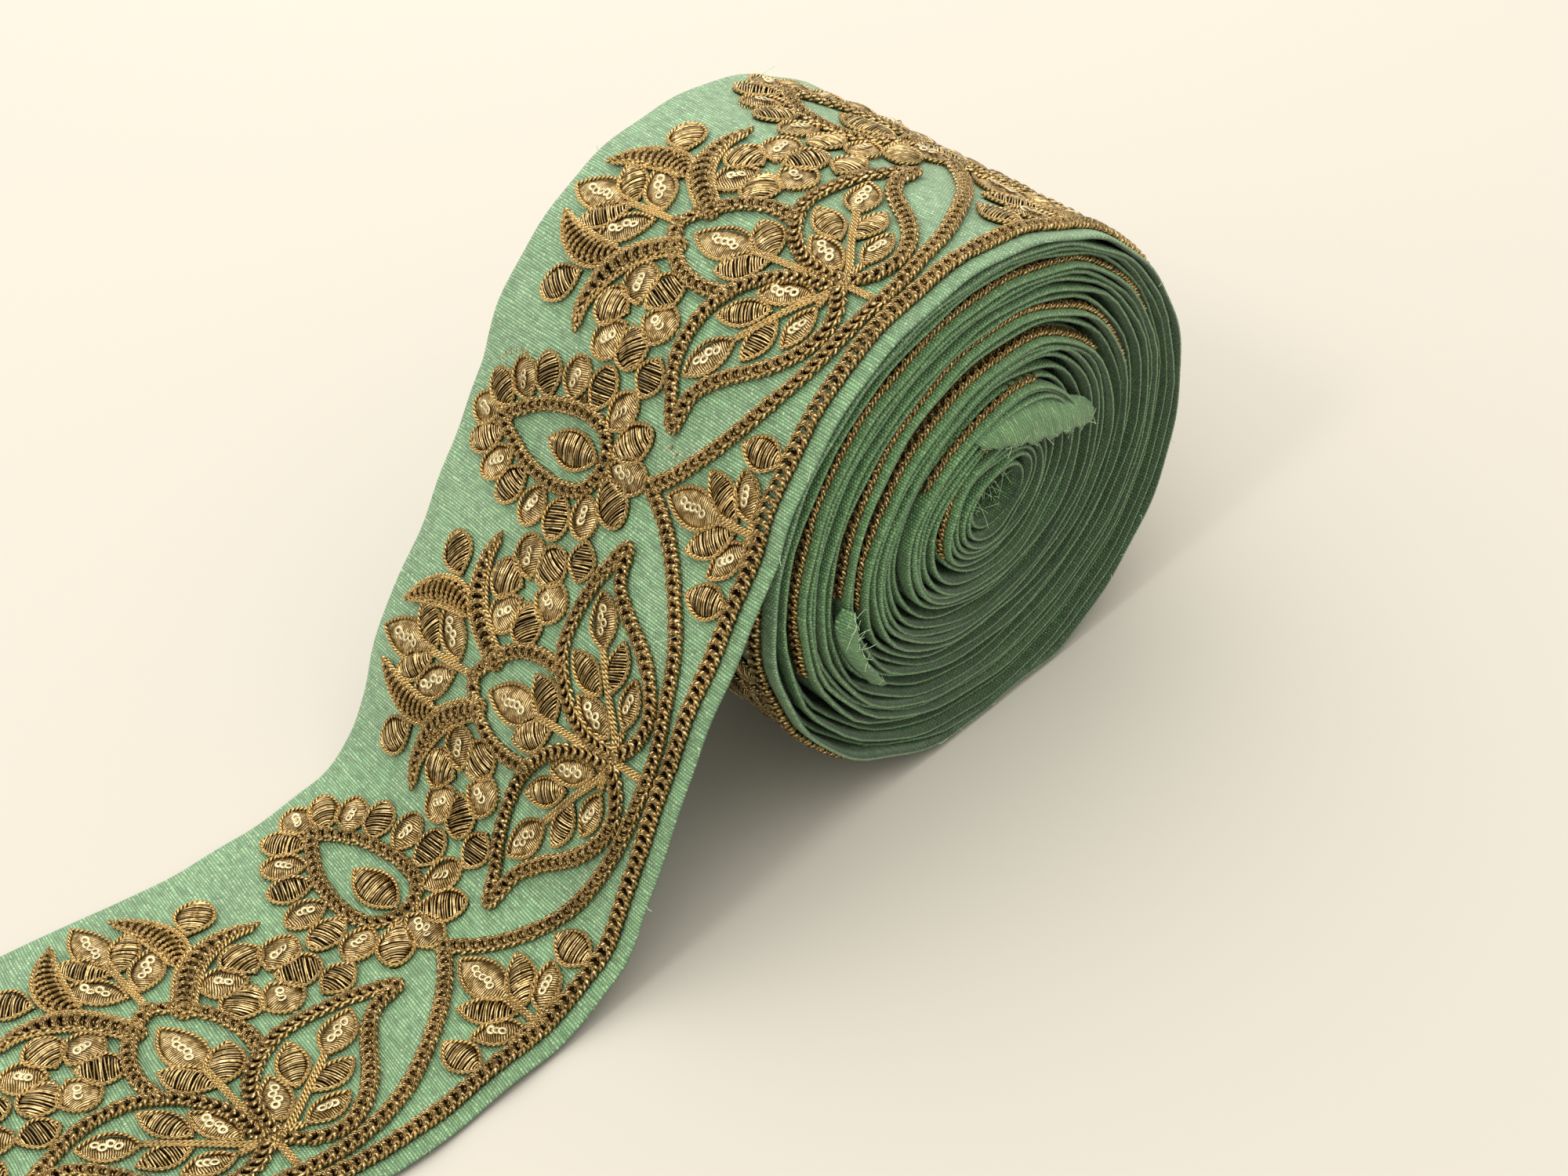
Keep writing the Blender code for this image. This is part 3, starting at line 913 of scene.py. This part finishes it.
def leaf_half_width(leaf, share):
    """Half width of a leaf at shares of its length from base to tip."""
    towards_base, towards_tip, shift = LEAF_SHAPES[leaf["shape"]]
    rise = np.sin(np.pi * np.clip(share, 0, 1) ** shift)
    power = mix(towards_base, towards_tip, np.clip(share, 0, 1))
    return LEAF_FULLNESS[leaf["shape"]] * leaf["width"] / 2 * np.clip(rise, 0, 1) ** power


def leaf_outline(leaf, inset):
    """Closed outline of a leaf, drawn in by the inset."""
    share = 0.5 - 0.5 * np.cos(np.linspace(0, np.pi, OUTLINE_STEPS // 2 + 1))
    length, way, side = leaf_way(leaf)
    places = leaf["base"] + way * inset + np.outer(share * (length - 2 * inset), way)
    half = np.clip(leaf_half_width(leaf, share) - inset, LEAST_HALF_WIDTH, None)[:, None]
    return np.vstack([places + half * side, (places - half * side)[-2:0:-1]])


def grid_corners(index):
    """Corners of the four-sided faces between rows of points, from their numbers."""
    return np.stack([index[:-1, :-1], index[1:, :-1], index[1:, 1:], index[:-1, 1:]], 2).reshape(-1)


# Trees

CORD_INPUTS = [("Cord radius", FLOAT, 0.5), ("Material", MATERIAL, None)]


def tubes_from(tree, curves, radius, sides):
    """Round cords along curves, with the along and around values that the twist reads."""
    length = node(tree, "GeometryNodeSplineParameter").outputs["Length"]
    marked = node(tree, "GeometryNodeStoreNamedAttribute",
                  {"Geometry": curves, "Name": "along", "Value": length})
    circle = node(tree, "GeometryNodeCurvePrimitiveCircle", {"Resolution": sides, "Radius": radius})
    turned = node(tree, "GeometryNodeTransform",
                  {"Geometry": circle.outputs[0], "Rotation": (0.0, 0.0, -math.pi / 2)})
    factor = node(tree, "GeometryNodeSplineParameter").outputs["Factor"]
    profile = node(tree, "GeometryNodeStoreNamedAttribute",
                   {"Geometry": turned.outputs[0], "Name": "around", "Value": factor})
    tube = node(tree, "GeometryNodeCurveToMesh",
                {"Curve": marked.outputs[0], "Profile Curve": profile.outputs[0], "Fill Caps": True})
    return tube.outputs[0]


def finish_tree(tree, start, end, solid):
    real = node(tree, "GeometryNodeRealizeInstances", {"Geometry": solid})
    coated = node(tree, "GeometryNodeSetMaterial",
                  {"Geometry": real.outputs[0], "Material": start.outputs["Material"]})
    tree.links.new(coated.outputs[0], end.inputs[0])


def cord_tree():
    """A plied cord along every guide."""
    tree, start, end = geometry_group("laid_cord", CORD_INPUTS)
    curves = node(tree, "GeometryNodeMeshToCurve", {0: start.outputs["Geometry"]})
    finish_tree(tree, start, end, tubes_from(tree, curves.outputs[0], start.outputs["Cord radius"], 6))
    return tree


def instances_along(tree, start, spacing, shape, scale, turn):
    """Copies of a shape along every guide, facing along it, scaled and then turned a little."""
    curves = node(tree, "GeometryNodeMeshToCurve", {0: start.outputs["Geometry"]})
    spaced = node(tree, "GeometryNodeResampleCurve", {"Curve": curves.outputs[0], "Length": spacing},
                  mode="LENGTH")
    tangent = node(tree, "GeometryNodeInputTangent").outputs[0]
    facing = node(tree, "FunctionNodeAlignRotationToVector", {"Vector": tangent},
                  axis="X", pivot_axis="Z")
    turned = node(tree, "FunctionNodeRotateRotation", {0: facing.outputs[0], 1: turn},
                  rotation_space="LOCAL")
    copies = node(tree, "GeometryNodeInstanceOnPoints",
                  {"Points": spaced.outputs[0], "Instance": shape, "Rotation": turned.outputs[0],
                   "Scale": scale})
    return copies.outputs[0]


def euler(tree, x, y, z):
    return node(tree, "FunctionNodeEulerToRotation", {0: combined(tree, x, y, z)}).outputs[0]


def random_value(tree, low, high, seed):
    made = node(tree, "FunctionNodeRandomValue", {"Seed": seed, 2: low, 3: high}, data_type="FLOAT")
    return made.outputs[1]


def half_width_input(tree):
    made = node(tree, "GeometryNodeInputNamedAttribute", {"Name": "half_width"}, data_type="FLOAT")
    return made.outputs[0]


def chain_tree():
    """Chain stitch: overlapping loops of plied cord along every guide, each as wide as it says."""
    tree, start, end = geometry_group(
        "chain_stitch",
        [("Stitch length", FLOAT, 2.5), ("Loop length", FLOAT, 3.0), ("Tilt", FLOAT, 0.3),
         ("Seed", "NodeSocketInt", 3)] + CORD_INPUTS)
    radius = start.outputs["Cord radius"]
    loop = node(tree, "GeometryNodeCurvePrimitiveCircle", {"Resolution": 12, "Radius": 1.0})
    inner = math_node(tree, "SUBTRACT", half_width_input(tree), radius)
    size = combined(tree, product(tree, start.outputs["Loop length"], 0.5), inner, 1.0)
    turn = euler(tree, random_value(tree, -0.12, 0.12, start.outputs["Seed"]),
                 product(tree, start.outputs["Tilt"], -1.0), random_value(tree, -0.14, 0.14, 5))
    loops = instances_along(tree, start, start.outputs["Stitch length"], loop.outputs[0], size, turn)
    real = node(tree, "GeometryNodeRealizeInstances", {"Geometry": loops})
    finish_tree(tree, start, end, tubes_from(tree, real.outputs[0], radius, 6))
    return tree


def strand_tree():
    """Smooth metal strands, each arching across its leaf."""
    tree, start, end = geometry_group(
        "metal_strands",
        [("Strand spacing", FLOAT, 0.58), ("Arch", FLOAT, 2.2), ("Slant", FLOAT, 0.14),
         ("Seed", "NodeSocketInt", 8)] + CORD_INPUTS)
    arch = node(tree, "GeometryNodeCurveQuadraticBezier",
                {"Resolution": 5, "Start": (0.0, -1.0, 0.0), "End": (0.0, 1.0, 0.0),
                 "Middle": combined(tree, 0.0, 0.0, start.outputs["Arch"])})
    half = half_width_input(tree)
    size = combined(tree, 1.0, half, ranged(tree, half, 0.0, 3.5, 0.35, 1.0))
    uneven = random_value(tree, -0.06, 0.06, start.outputs["Seed"])
    turn = euler(tree, 0.0, random_value(tree, -0.2, 0.2, 2),
                 math_node(tree, "ADD", start.outputs["Slant"], uneven))
    arches = instances_along(tree, start, start.outputs["Strand spacing"], arch.outputs[0], size, turn)
    picked = node(tree, "GeometryNodeStoreNamedAttribute",
                  {"Geometry": arches, "Name": "pick", "Value": random_value(tree, 0.0, 1.0, 4)},
                  domain="INSTANCE")
    real = node(tree, "GeometryNodeRealizeInstances", {"Geometry": picked.outputs[0]})
    finish_tree(tree, start, end, tubes_from(tree, real.outputs[0], start.outputs["Cord radius"], 4))
    return tree


def sequin_tree():
    """Small flat rings, overlapping along every guide."""
    tree, start, end = geometry_group(
        "sequins", [("Spacing", FLOAT, 1.5), ("Ring radius", FLOAT, 0.74), ("Ring width", FLOAT, 0.62),
                    ("Seed", "NodeSocketInt", 6), ("Material", MATERIAL, None)])
    ring = node(tree, "GeometryNodeCurvePrimitiveCircle",
                {"Resolution": 12, "Radius": start.outputs["Ring radius"]})
    flat = node(tree, "GeometryNodeCurvePrimitiveQuadrilateral",
                {"Width": start.outputs["Ring width"], "Height": 0.14})
    sequin = node(tree, "GeometryNodeCurveToMesh",
                  {"Curve": ring.outputs[0], "Profile Curve": flat.outputs[0]})
    turn = euler(tree, random_value(tree, -0.25, 0.25, start.outputs["Seed"]),
                 random_value(tree, -0.35, 0.1, 7), 0.0)
    finish_tree(tree, start, end, instances_along(
        tree, start, start.outputs["Spacing"], sequin.outputs[0], (1.0, 1.0, 1.0), turn))
    return tree


# Settings

def length_setting(name, description, default):
    return bpy.props.FloatProperty(name=name, description=description, default=default, unit="LENGTH")


def colour_setting(name, description, default):
    return bpy.props.FloatVectorProperty(name=name, description=description, default=default, size=3,
                                         subtype="COLOR")


class TrimClothSettings(bpy.types.PropertyGroup):
    turn_pitch: length_setting("Turn pitch", "Distance from one turn of the roll to the next", 0.00155)
    turns: bpy.props.FloatProperty(
        name="Turns", description="Number of turns in the roll", default=33.0, min=2.0)
    rib_pitch: length_setting("Rib pitch", "Distance between the ribs of the weave", 0.00064)
    colour: colour_setting("Silk", "Colour of the silk", (0.215, 0.415, 0.205))
    # The silk's glint colour is painted highlight on the brightest threads; the frayed threads also take
    # it as their own colour
    painted_glint_colour: colour_setting("Silk glints", "Colour of the brightest threads", (0.52, 0.73, 0.43))


class TrimMetalSettings(bpy.types.PropertyGroup):
    cord_radius: length_setting("Cord radius", "Radius of the plied cord", 0.00056)
    outline_radius: length_setting(
        "Outline radius", "Radius of the cord round leaves and petals", 0.00046)
    stitch_length: length_setting("Stitch length", "Length of one chain stitch", 0.00218)
    strand_radius: length_setting("Strand radius", "Radius of a metal strand", 0.00023)
    thread_colour: colour_setting("Thread", "Colour of the plied metal thread", (0.42, 0.275, 0.092))
    strand_colour: colour_setting("Strands", "Colour of the smooth metal strands", (0.75, 0.56, 0.28))
    sequin_colour: colour_setting("Sequins", "Colour of the sequins", (0.76, 0.64, 0.38))


class TrimStageSettings(bpy.types.PropertyGroup):
    floor_colour: colour_setting("Floor", "Colour of the floor", (0.54, 0.518, 0.468))
    lens: bpy.props.FloatProperty(
        name="Lens", description="Focal length of the camera, in millimetres", default=66.25)


# Pieces

class TRIM_OT_cloth(bpy.types.Operator):
    """Weave the hemmed band, from its cut end to the core of the roll"""

    bl_idname = "trim.cloth"
    bl_label = "Cloth band"

    def execute(self, context):
        band = wound_band()
        wound = np.arange(SHOWN_TURNS, band.turns[-1], 1 / ROWS_IN_A_TURN)
        rows = np.concatenate([np.arange(band.along[0], band.at_turn(SHOWN_TURNS), ROW_STEP),
                               np.interp(wound, band.turns, band.along)])
        near = [(row["across"], -row["upper"], -row["lower"]) for row in HEM_SECTION]
        far = [(FAR_EDGE - row["across"], -row["upper"], -row["lower"]) for row in FAR_HEM_SECTION]
        columns = near + [(across, *near[-1][1:]) for across in FIELD_COLUMNS] + far[::-1]
        ring = [(across, upper) for across, upper, lower in columns]
        ring += [(across, lower) for across, upper, lower in columns[-2:0:-1]]
        count, width = len(rows), len(ring)
        across, height = np.tile(ring, (count, 1)).T
        along = np.repeat(rows, width)
        piece = new_piece("cloth_band", band.place(along, across, height), *ring_faces(count, width), {},
                          cloth_material())
        # Under the band the threads go on round the edge, so their places go on past it; the painted
        # shade under the edge reads these places
        below = np.tile(np.arange(width) >= len(columns), count)
        round_edge = np.where(across < BAND_WIDTH / 2, -across - EDGE_WRAP,
                              2 * BAND_WIDTH - across + EDGE_WRAP)
        set_cloth_places(piece, along, np.where(below, round_edge, across))
        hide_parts("loose_end", "wound_roll")
        return {"FINISHED"}


class TRIM_OT_chain(bpy.types.Operator):
    """Work the border, vine, paisleys and rings in chain stitch"""

    bl_idname = "trim.chain"
    bl_label = "Chain stitch"

    def execute(self, context):
        metal = context.scene.trim_metal
        radius, stitch = metal.cord_radius / MM, metal.stitch_length / MM
        lines = Guides()
        for row in CHAIN_LINES:
            for line in both_sides(row, row["points"]):
                lines.add(raised(smooth_line(line, 8), radius + LINE_LIFT), row["width"] / 2)
        for line, half in horn_lines(HORN_STALK):
            lines.add(raised(line, radius + HORN_LIFT), half)
        grow_copies("chain_stitch", lines, chain_tree(), thread_material(), {
            **CHAIN_LOOP, "Stitch length": stitch, "Cord radius": radius * CHAIN_CORD})
        crescents = Guides()
        for line, half in horn_lines(HORN_CRESCENT):
            crescents.add(raised(line, radius + HORN_LIFT), half)
        grow_copies("horned_leaves", crescents, chain_tree(), outline_material(), {
            **CRESCENT_LOOP, "Cord radius": radius * CRESCENT_CORD})
        self.wound_border(radius, stitch)
        return {"FINISHED"}

    @staticmethod
    def wound_border(radius, stitch):
        """Strips of the border that show on the near end, between turns."""
        band = wound_band()
        shown = Guides()
        for first, last in SHOWN_BORDERS:
            line = np.arange(band.at_turn(first), band.at_turn(last), SHOWN_BORDER_STEP)
            flat = np.stack([line, np.full(len(line), SHOWN_BORDER_ACROSS)], 1)
            shown.add(raised(flat, radius + SHOWN_BORDER_LIFT), SHOWN_BORDER_HALF_WIDTH)
        points, *faces = grown(shown, chain_tree(), {
            **SHOWN_LOOP, "Stitch length": stitch, "Cord radius": radius,
            "Material": thread_material()})
        laid = band.place(points[:, 0], points[:, 1], points[:, 2] - FIELD_LEVEL)
        new_piece("wound_border", laid, *faces, thread_material())


class TRIM_OT_folds(bpy.types.Operator):
    """Turn lengths of hem over on the near end of the roll, and fray the cloth"""

    bl_idname = "trim.folds"
    bl_label = "Folds and frayed threads"

    def execute(self, context):
        band = wound_band()
        pitch = context.scene.trim_cloth.turn_pitch / MM
        picker = np.random.default_rng(5)
        fray = Guides()
        for number, fold in enumerate(HEM_FOLDS):
            edge = self.turned_hem(f"turned_hem_{number + 1}", fold)
            for place in edge[picker.integers(0, len(edge), FRAYS["hem"]["count"])]:
                fray.add(self.loose_thread(picker, place, FRAYS["hem"]["length"]))
        core_turns = picker.uniform(band.turns[-1] - FRAYED_CORE_TURNS, band.turns[-1],
                                    FRAYS["core"]["count"])
        for x, z in np.stack(turn_points(core_turns, "near", pitch), 1):
            place = np.array([x, CORE_THREAD_DEPTH - BAND_WIDTH / 2, z])
            fray.add(self.loose_thread(picker, place, FRAYS["core"]["length"]))
        for along, across in LONG_THREADS:
            place = self.on_band(along, across, LONG_THREAD_HEIGHT)
            fray.add(self.loose_thread(picker, place, LONG_THREAD_LENGTH))
        end = band.at_turn(FRAYED_EDGE_TURNS)
        for along in picker.uniform(band.along[0], end, FRAYS["edge"]["count"]):
            place = self.on_band(along, picker.choice([0.0, BAND_WIDTH]), EDGE_THREAD_HEIGHT)
            fray.add(self.loose_thread(picker, place, FRAYS["edge"]["length"]))
        points, *faces = grown(fray, cord_tree(), {
            "Cord radius": FRAY_RADIUS, "Material": fray_material()})
        points[:, 2] = np.maximum(points[:, 2], LOWEST_POINT)
        new_piece("frayed_threads", points, *faces, fray_material())
        return {"FINISHED"}

    @staticmethod
    def turned_hem(name, fold):
        """One length of turned-over hem. Gives the points of its free edge."""
        outer, inner = (smooth_line(fold[side], 9)[:, None] for side in ("outer", "inner"))
        inward = np.concatenate([np.linspace(0, 1, HEM_COLUMNS), np.linspace(1, 0, HEM_COLUMNS)])
        count, width = len(outer), len(inward)
        number = np.arange(count)
        taper = np.sin(np.linspace(0.1, math.pi - 0.1, count)) ** 0.2
        wave = 1 + 0.05 * np.sin(number * 1.1) + 0.04 * np.sin(number * 2.3)
        spread = (taper * wave)[:, None, None] * inward[:, None]
        x, z = (outer + (inner - outer) * spread).reshape(-1, 2).T
        share = np.tile(inward, count)
        under = np.tile(np.repeat([0.0, HEM_THICKNESS], HEM_COLUMNS), count)
        lifted = np.minimum(2.2 * share, 1.0) * np.repeat(taper, width)
        y = under - BAND_WIDTH / 2 - 0.1 - mix(-HIDDEN_ROOT, fold["stands"], lifted)
        points = np.stack([x, y, np.maximum(z, LOWEST_CLOTH)], 1)
        piece = new_piece(name, points, *ring_faces(count, width), {}, cloth_material())
        step = np.linalg.norm(np.diff(outer[:, 0], axis=0), axis=1)
        # The turned hem's places start one turn further in, so that it takes the painted shade of the
        # wound turns
        along = np.concatenate([[0.0], np.cumsum(step)]) + wound_band().at_turn(SHOWN_TURNS + 1)
        set_cloth_places(piece, np.repeat(along, width), share * TURNED_HEM_WIDTH)
        return points.reshape(count, width, 3)[:, HEM_COLUMNS - 1]

    @staticmethod
    def on_band(along, across, height):
        return wound_band().place(np.array([along]), np.array([across]), np.array([height]))[0]

    @staticmethod
    def loose_thread(picker, place, length):
        """A short curling line from a place on the cloth's edge."""
        way = picker.normal(size=3) * (1, 0.6, 1)
        bend = picker.normal(size=3)
        t = np.linspace(0, 1, 6)[:, None] * length * picker.uniform(0.4, 1.4)
        return place + way / np.linalg.norm(way) * t + bend * 0.25 * t**2 / length


class TRIM_OT_cords(bpy.types.Operator):
    """Outline every leaf and petal with plied cord, and lay the stems"""

    bl_idname = "trim.cords"
    bl_label = "Outlines and stems"

    def execute(self, context):
        radius = context.scene.trim_metal.outline_radius / MM
        guides = Guides()
        for leaf in all_leaves():
            outline = leaf_outline(leaf, radius * OUTLINE_INSET)
            guides.add(raised(outline, radius * OUTLINE_LIFT), closed=True)
        for row in STEMS:
            for line in both_sides(row, row["points"]):
                for way in (-1, 1):
                    offset = way * radius * STEM_SPREAD
                    guides.add(beside(smooth_line(line, 6), offset, radius + STEM_LIFT))
        for line, half in horn_lines(HORN_CRESCENT, HORN_STALK):
            for way in (-1, 1):
                guides.add(beside(line, way * half, radius + HORN_CORD_LIFT))
        grow_copies("outline_cord", guides, cord_tree(), outline_material(), {"Cord radius": radius})
        return {"FINISHED"}


class TRIM_OT_strands(bpy.types.Operator):
    """Fill half of the leaves with smooth metal strands"""

    bl_idname = "trim.strands"
    bl_label = "Metal strands"

    def execute(self, context):
        guides = Guides()
        share = np.linspace(0.05, 0.97, 24)
        for leaf in all_leaves("strands"):
            line = leaf["base"] + np.outer(share, leaf["tip"] - leaf["base"])
            half = np.maximum(leaf_half_width(leaf, share) - STRAND_INSET, LEAST_STRAND)
            guides.add(raised(line, STRAND_LIFT), half)
        grow_copies("metal_strands", guides, strand_tree(), strand_material(), {
            "Cord radius": context.scene.trim_metal.strand_radius / MM})
        return {"FINISHED"}


class TRIM_OT_padding(bpy.types.Operator):
    """Raise the padding of every leaf and petal, and lay strips of painted shade under open stitches"""

    bl_idname = "trim.padding"
    bl_label = "Satin padding"

    def execute(self, context):
        rows, columns = PADDING_STEPS
        share = 0.5 - 0.5 * np.cos(np.linspace(0, np.pi, rows))
        across = np.sin(np.linspace(-np.pi / 2, np.pi / 2, columns))
        arch = np.sqrt(np.clip(1 - across**2, 0, 1))
        sheets = []
        for number, leaf in enumerate(all_leaves(), 1):
            length, way, side = leaf_way(leaf)
            half = np.clip(leaf_half_width(leaf, share) - PADDING_INSET, LEAST_HALF_WIDTH, None)
            sheet = leaf["base"] + share[:, None, None] * length * way
            sheet = sheet + half[:, None, None] * across[None, :, None] * side
            dome = arch * np.clip(half / half.max() * 1.3, 0, 1)[:, None]
            # Padding under loose strands is painted all in shade
            painted_light_share = 0.85 + 0.15 * math.sin(number * 2.4) if leaf["fill"] == "sequins" else 0.0
            sheets.append({"points": np.dstack([sheet, PADDING_RISE[leaf["fill"]] * dome + 0.02]),
                           "along": np.repeat(share * length, columns), "bright": painted_light_share})
        sheets += [{"points": strip, "along": strip[:, :, 0].ravel(), "bright": 0.0}
                   for strip in self.painted_shade_strips()]
        start, corners = 0, []
        for sheet in sheets:
            shape = sheet["points"].shape[:2]
            corners.append(grid_corners(start + np.arange(shape[0] * shape[1]).reshape(shape)))
            start += shape[0] * shape[1]
        points = np.vstack([sheet["points"].reshape(-1, 3) for sheet in sheets])
        corners = np.concatenate(corners)
        bright = [np.full(len(sheet["along"]), sheet["bright"]) for sheet in sheets]
        values = {"along": np.concatenate([sheet["along"] for sheet in sheets]),
                  "bright": np.concatenate(bright)}
        flat = (points, corners, np.full(len(corners) // 4, 4), values)
        laid_copies("satin_padding_and_painted_shade", flat, padding_material())
        return {"FINISHED"}

    @staticmethod
    def painted_shade_strips():
        """Flat strips of painted shade, seen through loops and between rows of cord where shade falls.
        """
        lines = [(smooth_line(line, 6), row["width"] * 0.3)
                 for row in CHAIN_LINES for line in both_sides(row, row["points"])]
        lines += [(line, half * 0.95) for line, half in horn_lines(HORN_CRESCENT, HORN_STALK)]
        return [np.stack([beside(line, way * half, SHADE_STRIP_HEIGHT) for way in (-1, 1)], 1)
                for line, half in lines]


class TRIM_OT_sequins(bpy.types.Operator):
    """Sew sequins along the other half of the leaves"""

    bl_idname = "trim.sequins"
    bl_label = "Sequins"

    def execute(self, context):
        guides = Guides()
        for leaf in all_leaves("sequins"):
            length, way, side = leaf_way(leaf)
            reach = SEQUIN_REACH["short" if length < LONG_LEAF else "long"]
            share = np.linspace(0.5 - reach / 2, 0.5 + reach / 2, 4)
            zigzag = np.outer((1, -1, 1, -1), side * SEQUIN_ZIGZAG)
            guides.add(raised(leaf["base"] + np.outer(share * length, way) + zigzag, SEQUIN_LIFT))
        grow_copies("sequins", guides, sequin_tree(), sequin_material(), {})
        return {"FINISHED"}


class TRIM_OT_stage(bpy.types.Operator):
    """Set the floor, the lights and the camera"""

    bl_idname = "trim.stage"
    bl_label = "Stage"

    def execute(self, context):
        stage = context.scene.trim_stage
        self.lay_floor(stage.floor_colour)
        context.scene.world = self.studio()
        for row in LIGHTS:
            self.hang(row)
        context.scene.camera = self.camera(stage.lens)
        context.scene.view_settings.view_transform = "Standard"
        return {"FINISHED"}

    @staticmethod
    def lay_floor(colour):
        mesh = bpy.data.meshes.new("floor")
        corners = [(x * FLOOR_REACH, y * FLOOR_REACH, 0)
                   for x, y in ((-1, -1), (1, -1), (1, 1), (-1, 1))]
        mesh.from_pydata(corners, [], [(0, 1, 2, 3)])
        mesh.materials.append(new_material("floor", {
            "Base Color": shaded(colour), "Roughness": 0.9, "Specular IOR Level": 0.1})[0])
        floor = bpy.data.objects.new("floor", mesh)
        bpy.context.scene.collection.objects.link(floor)

    @staticmethod
    def studio():
        """Soft light from all round, stronger from above and from the far side."""
        world = bpy.data.worlds.new("studio")
        world.use_nodes = True
        sky = world.node_tree
        back_light = sky.nodes["Background"]
        back_light.inputs["Color"].default_value = SKY_COLOUR
        around = node(sky, "ShaderNodeTexCoord").outputs["Generated"]
        way = node(sky, "ShaderNodeSeparateXYZ", {0: around})
        height = ranged(sky, way.outputs[2], 0.0, 1.0, SKY_AT_FLOOR, SKY_OVERHEAD)
        strength = math_node(sky, "MULTIPLY_ADD", way.outputs[1], SKY_FAR_SIDE, height)
        sky.links.new(strength, back_light.inputs["Strength"])
        return world

    @staticmethod
    def hang(row):
        light = bpy.data.lights.new(row["name"], "AREA")
        light.size = row["size"]
        light.energy = row["power"]
        light.color = LIGHT_COLOUR
        lamp = bpy.data.objects.new(row["name"], light)
        lamp.location = row["place"]
        way = Vector(LIGHT_AIM) - Vector(row["place"])
        lamp.rotation_euler = way.to_track_quat("-Z", "Y").to_euler()
        bpy.context.scene.collection.objects.link(lamp)

    @staticmethod
    def camera(lens):
        azimuth, elevation, roll = (math.radians(value) for value in CAMERA_ANGLES)
        back = Vector((math.sin(azimuth) * math.cos(elevation), -math.cos(azimuth) * math.cos(elevation),
                       math.sin(elevation)))
        right = (-back).cross(Vector((0, 0, 1))).normalized()
        up = right.cross(-back)
        level = math.cos(roll) * right + math.sin(roll) * up
        above = -math.sin(roll) * right + math.cos(roll) * up
        camera = bpy.data.objects.new("camera", bpy.data.cameras.new("camera"))
        camera.data.lens = lens
        camera.data.sensor_width = 36.0
        camera.data.clip_start = 0.01
        camera.matrix_world = Matrix.Translation(CAMERA_PLACE) @ Matrix(
            (level, above, back)).transposed().to_4x4()
        bpy.context.scene.collection.objects.link(camera)
        return camera


class TRIM_PT_panel(bpy.types.Panel):
    """Steps of the trim"""

    bl_idname = "TRIM_PT_panel"
    bl_label = "Embroidered border trim"
    bl_space_type = "VIEW_3D"
    bl_region_type = "UI"
    bl_category = "Trim"

    def draw(self, context):
        for settings in (context.scene.trim_cloth, context.scene.trim_metal, context.scene.trim_stage):
            for name in type(settings).__annotations__:
                self.layout.prop(settings, name)
        for step in STEPS:
            self.layout.operator(step.bl_idname)


STEPS = (TRIM_OT_cloth, TRIM_OT_folds, TRIM_OT_chain, TRIM_OT_cords, TRIM_OT_strands, TRIM_OT_padding,
         TRIM_OT_sequins, TRIM_OT_stage)
SETTINGS = {"trim_cloth": TrimClothSettings, "trim_metal": TrimMetalSettings,
            "trim_stage": TrimStageSettings}


def register():
    for kind in (*SETTINGS.values(), *STEPS, TRIM_PT_panel):
        bpy.utils.register_class(kind)
    for name, kind in SETTINGS.items():
        setattr(bpy.types.Scene, name, bpy.props.PointerProperty(type=kind))


def unregister():
    for name in SETTINGS:
        delattr(bpy.types.Scene, name)
    for kind in (TRIM_PT_panel, *reversed(STEPS), *reversed(list(SETTINGS.values()))):
        bpy.utils.unregister_class(kind)


def main():
    register()
    for step in STEPS:
        group, name = step.bl_idname.split(".")
        getattr(getattr(bpy.ops, group), name)()


if __name__ == "__main__":
    main()
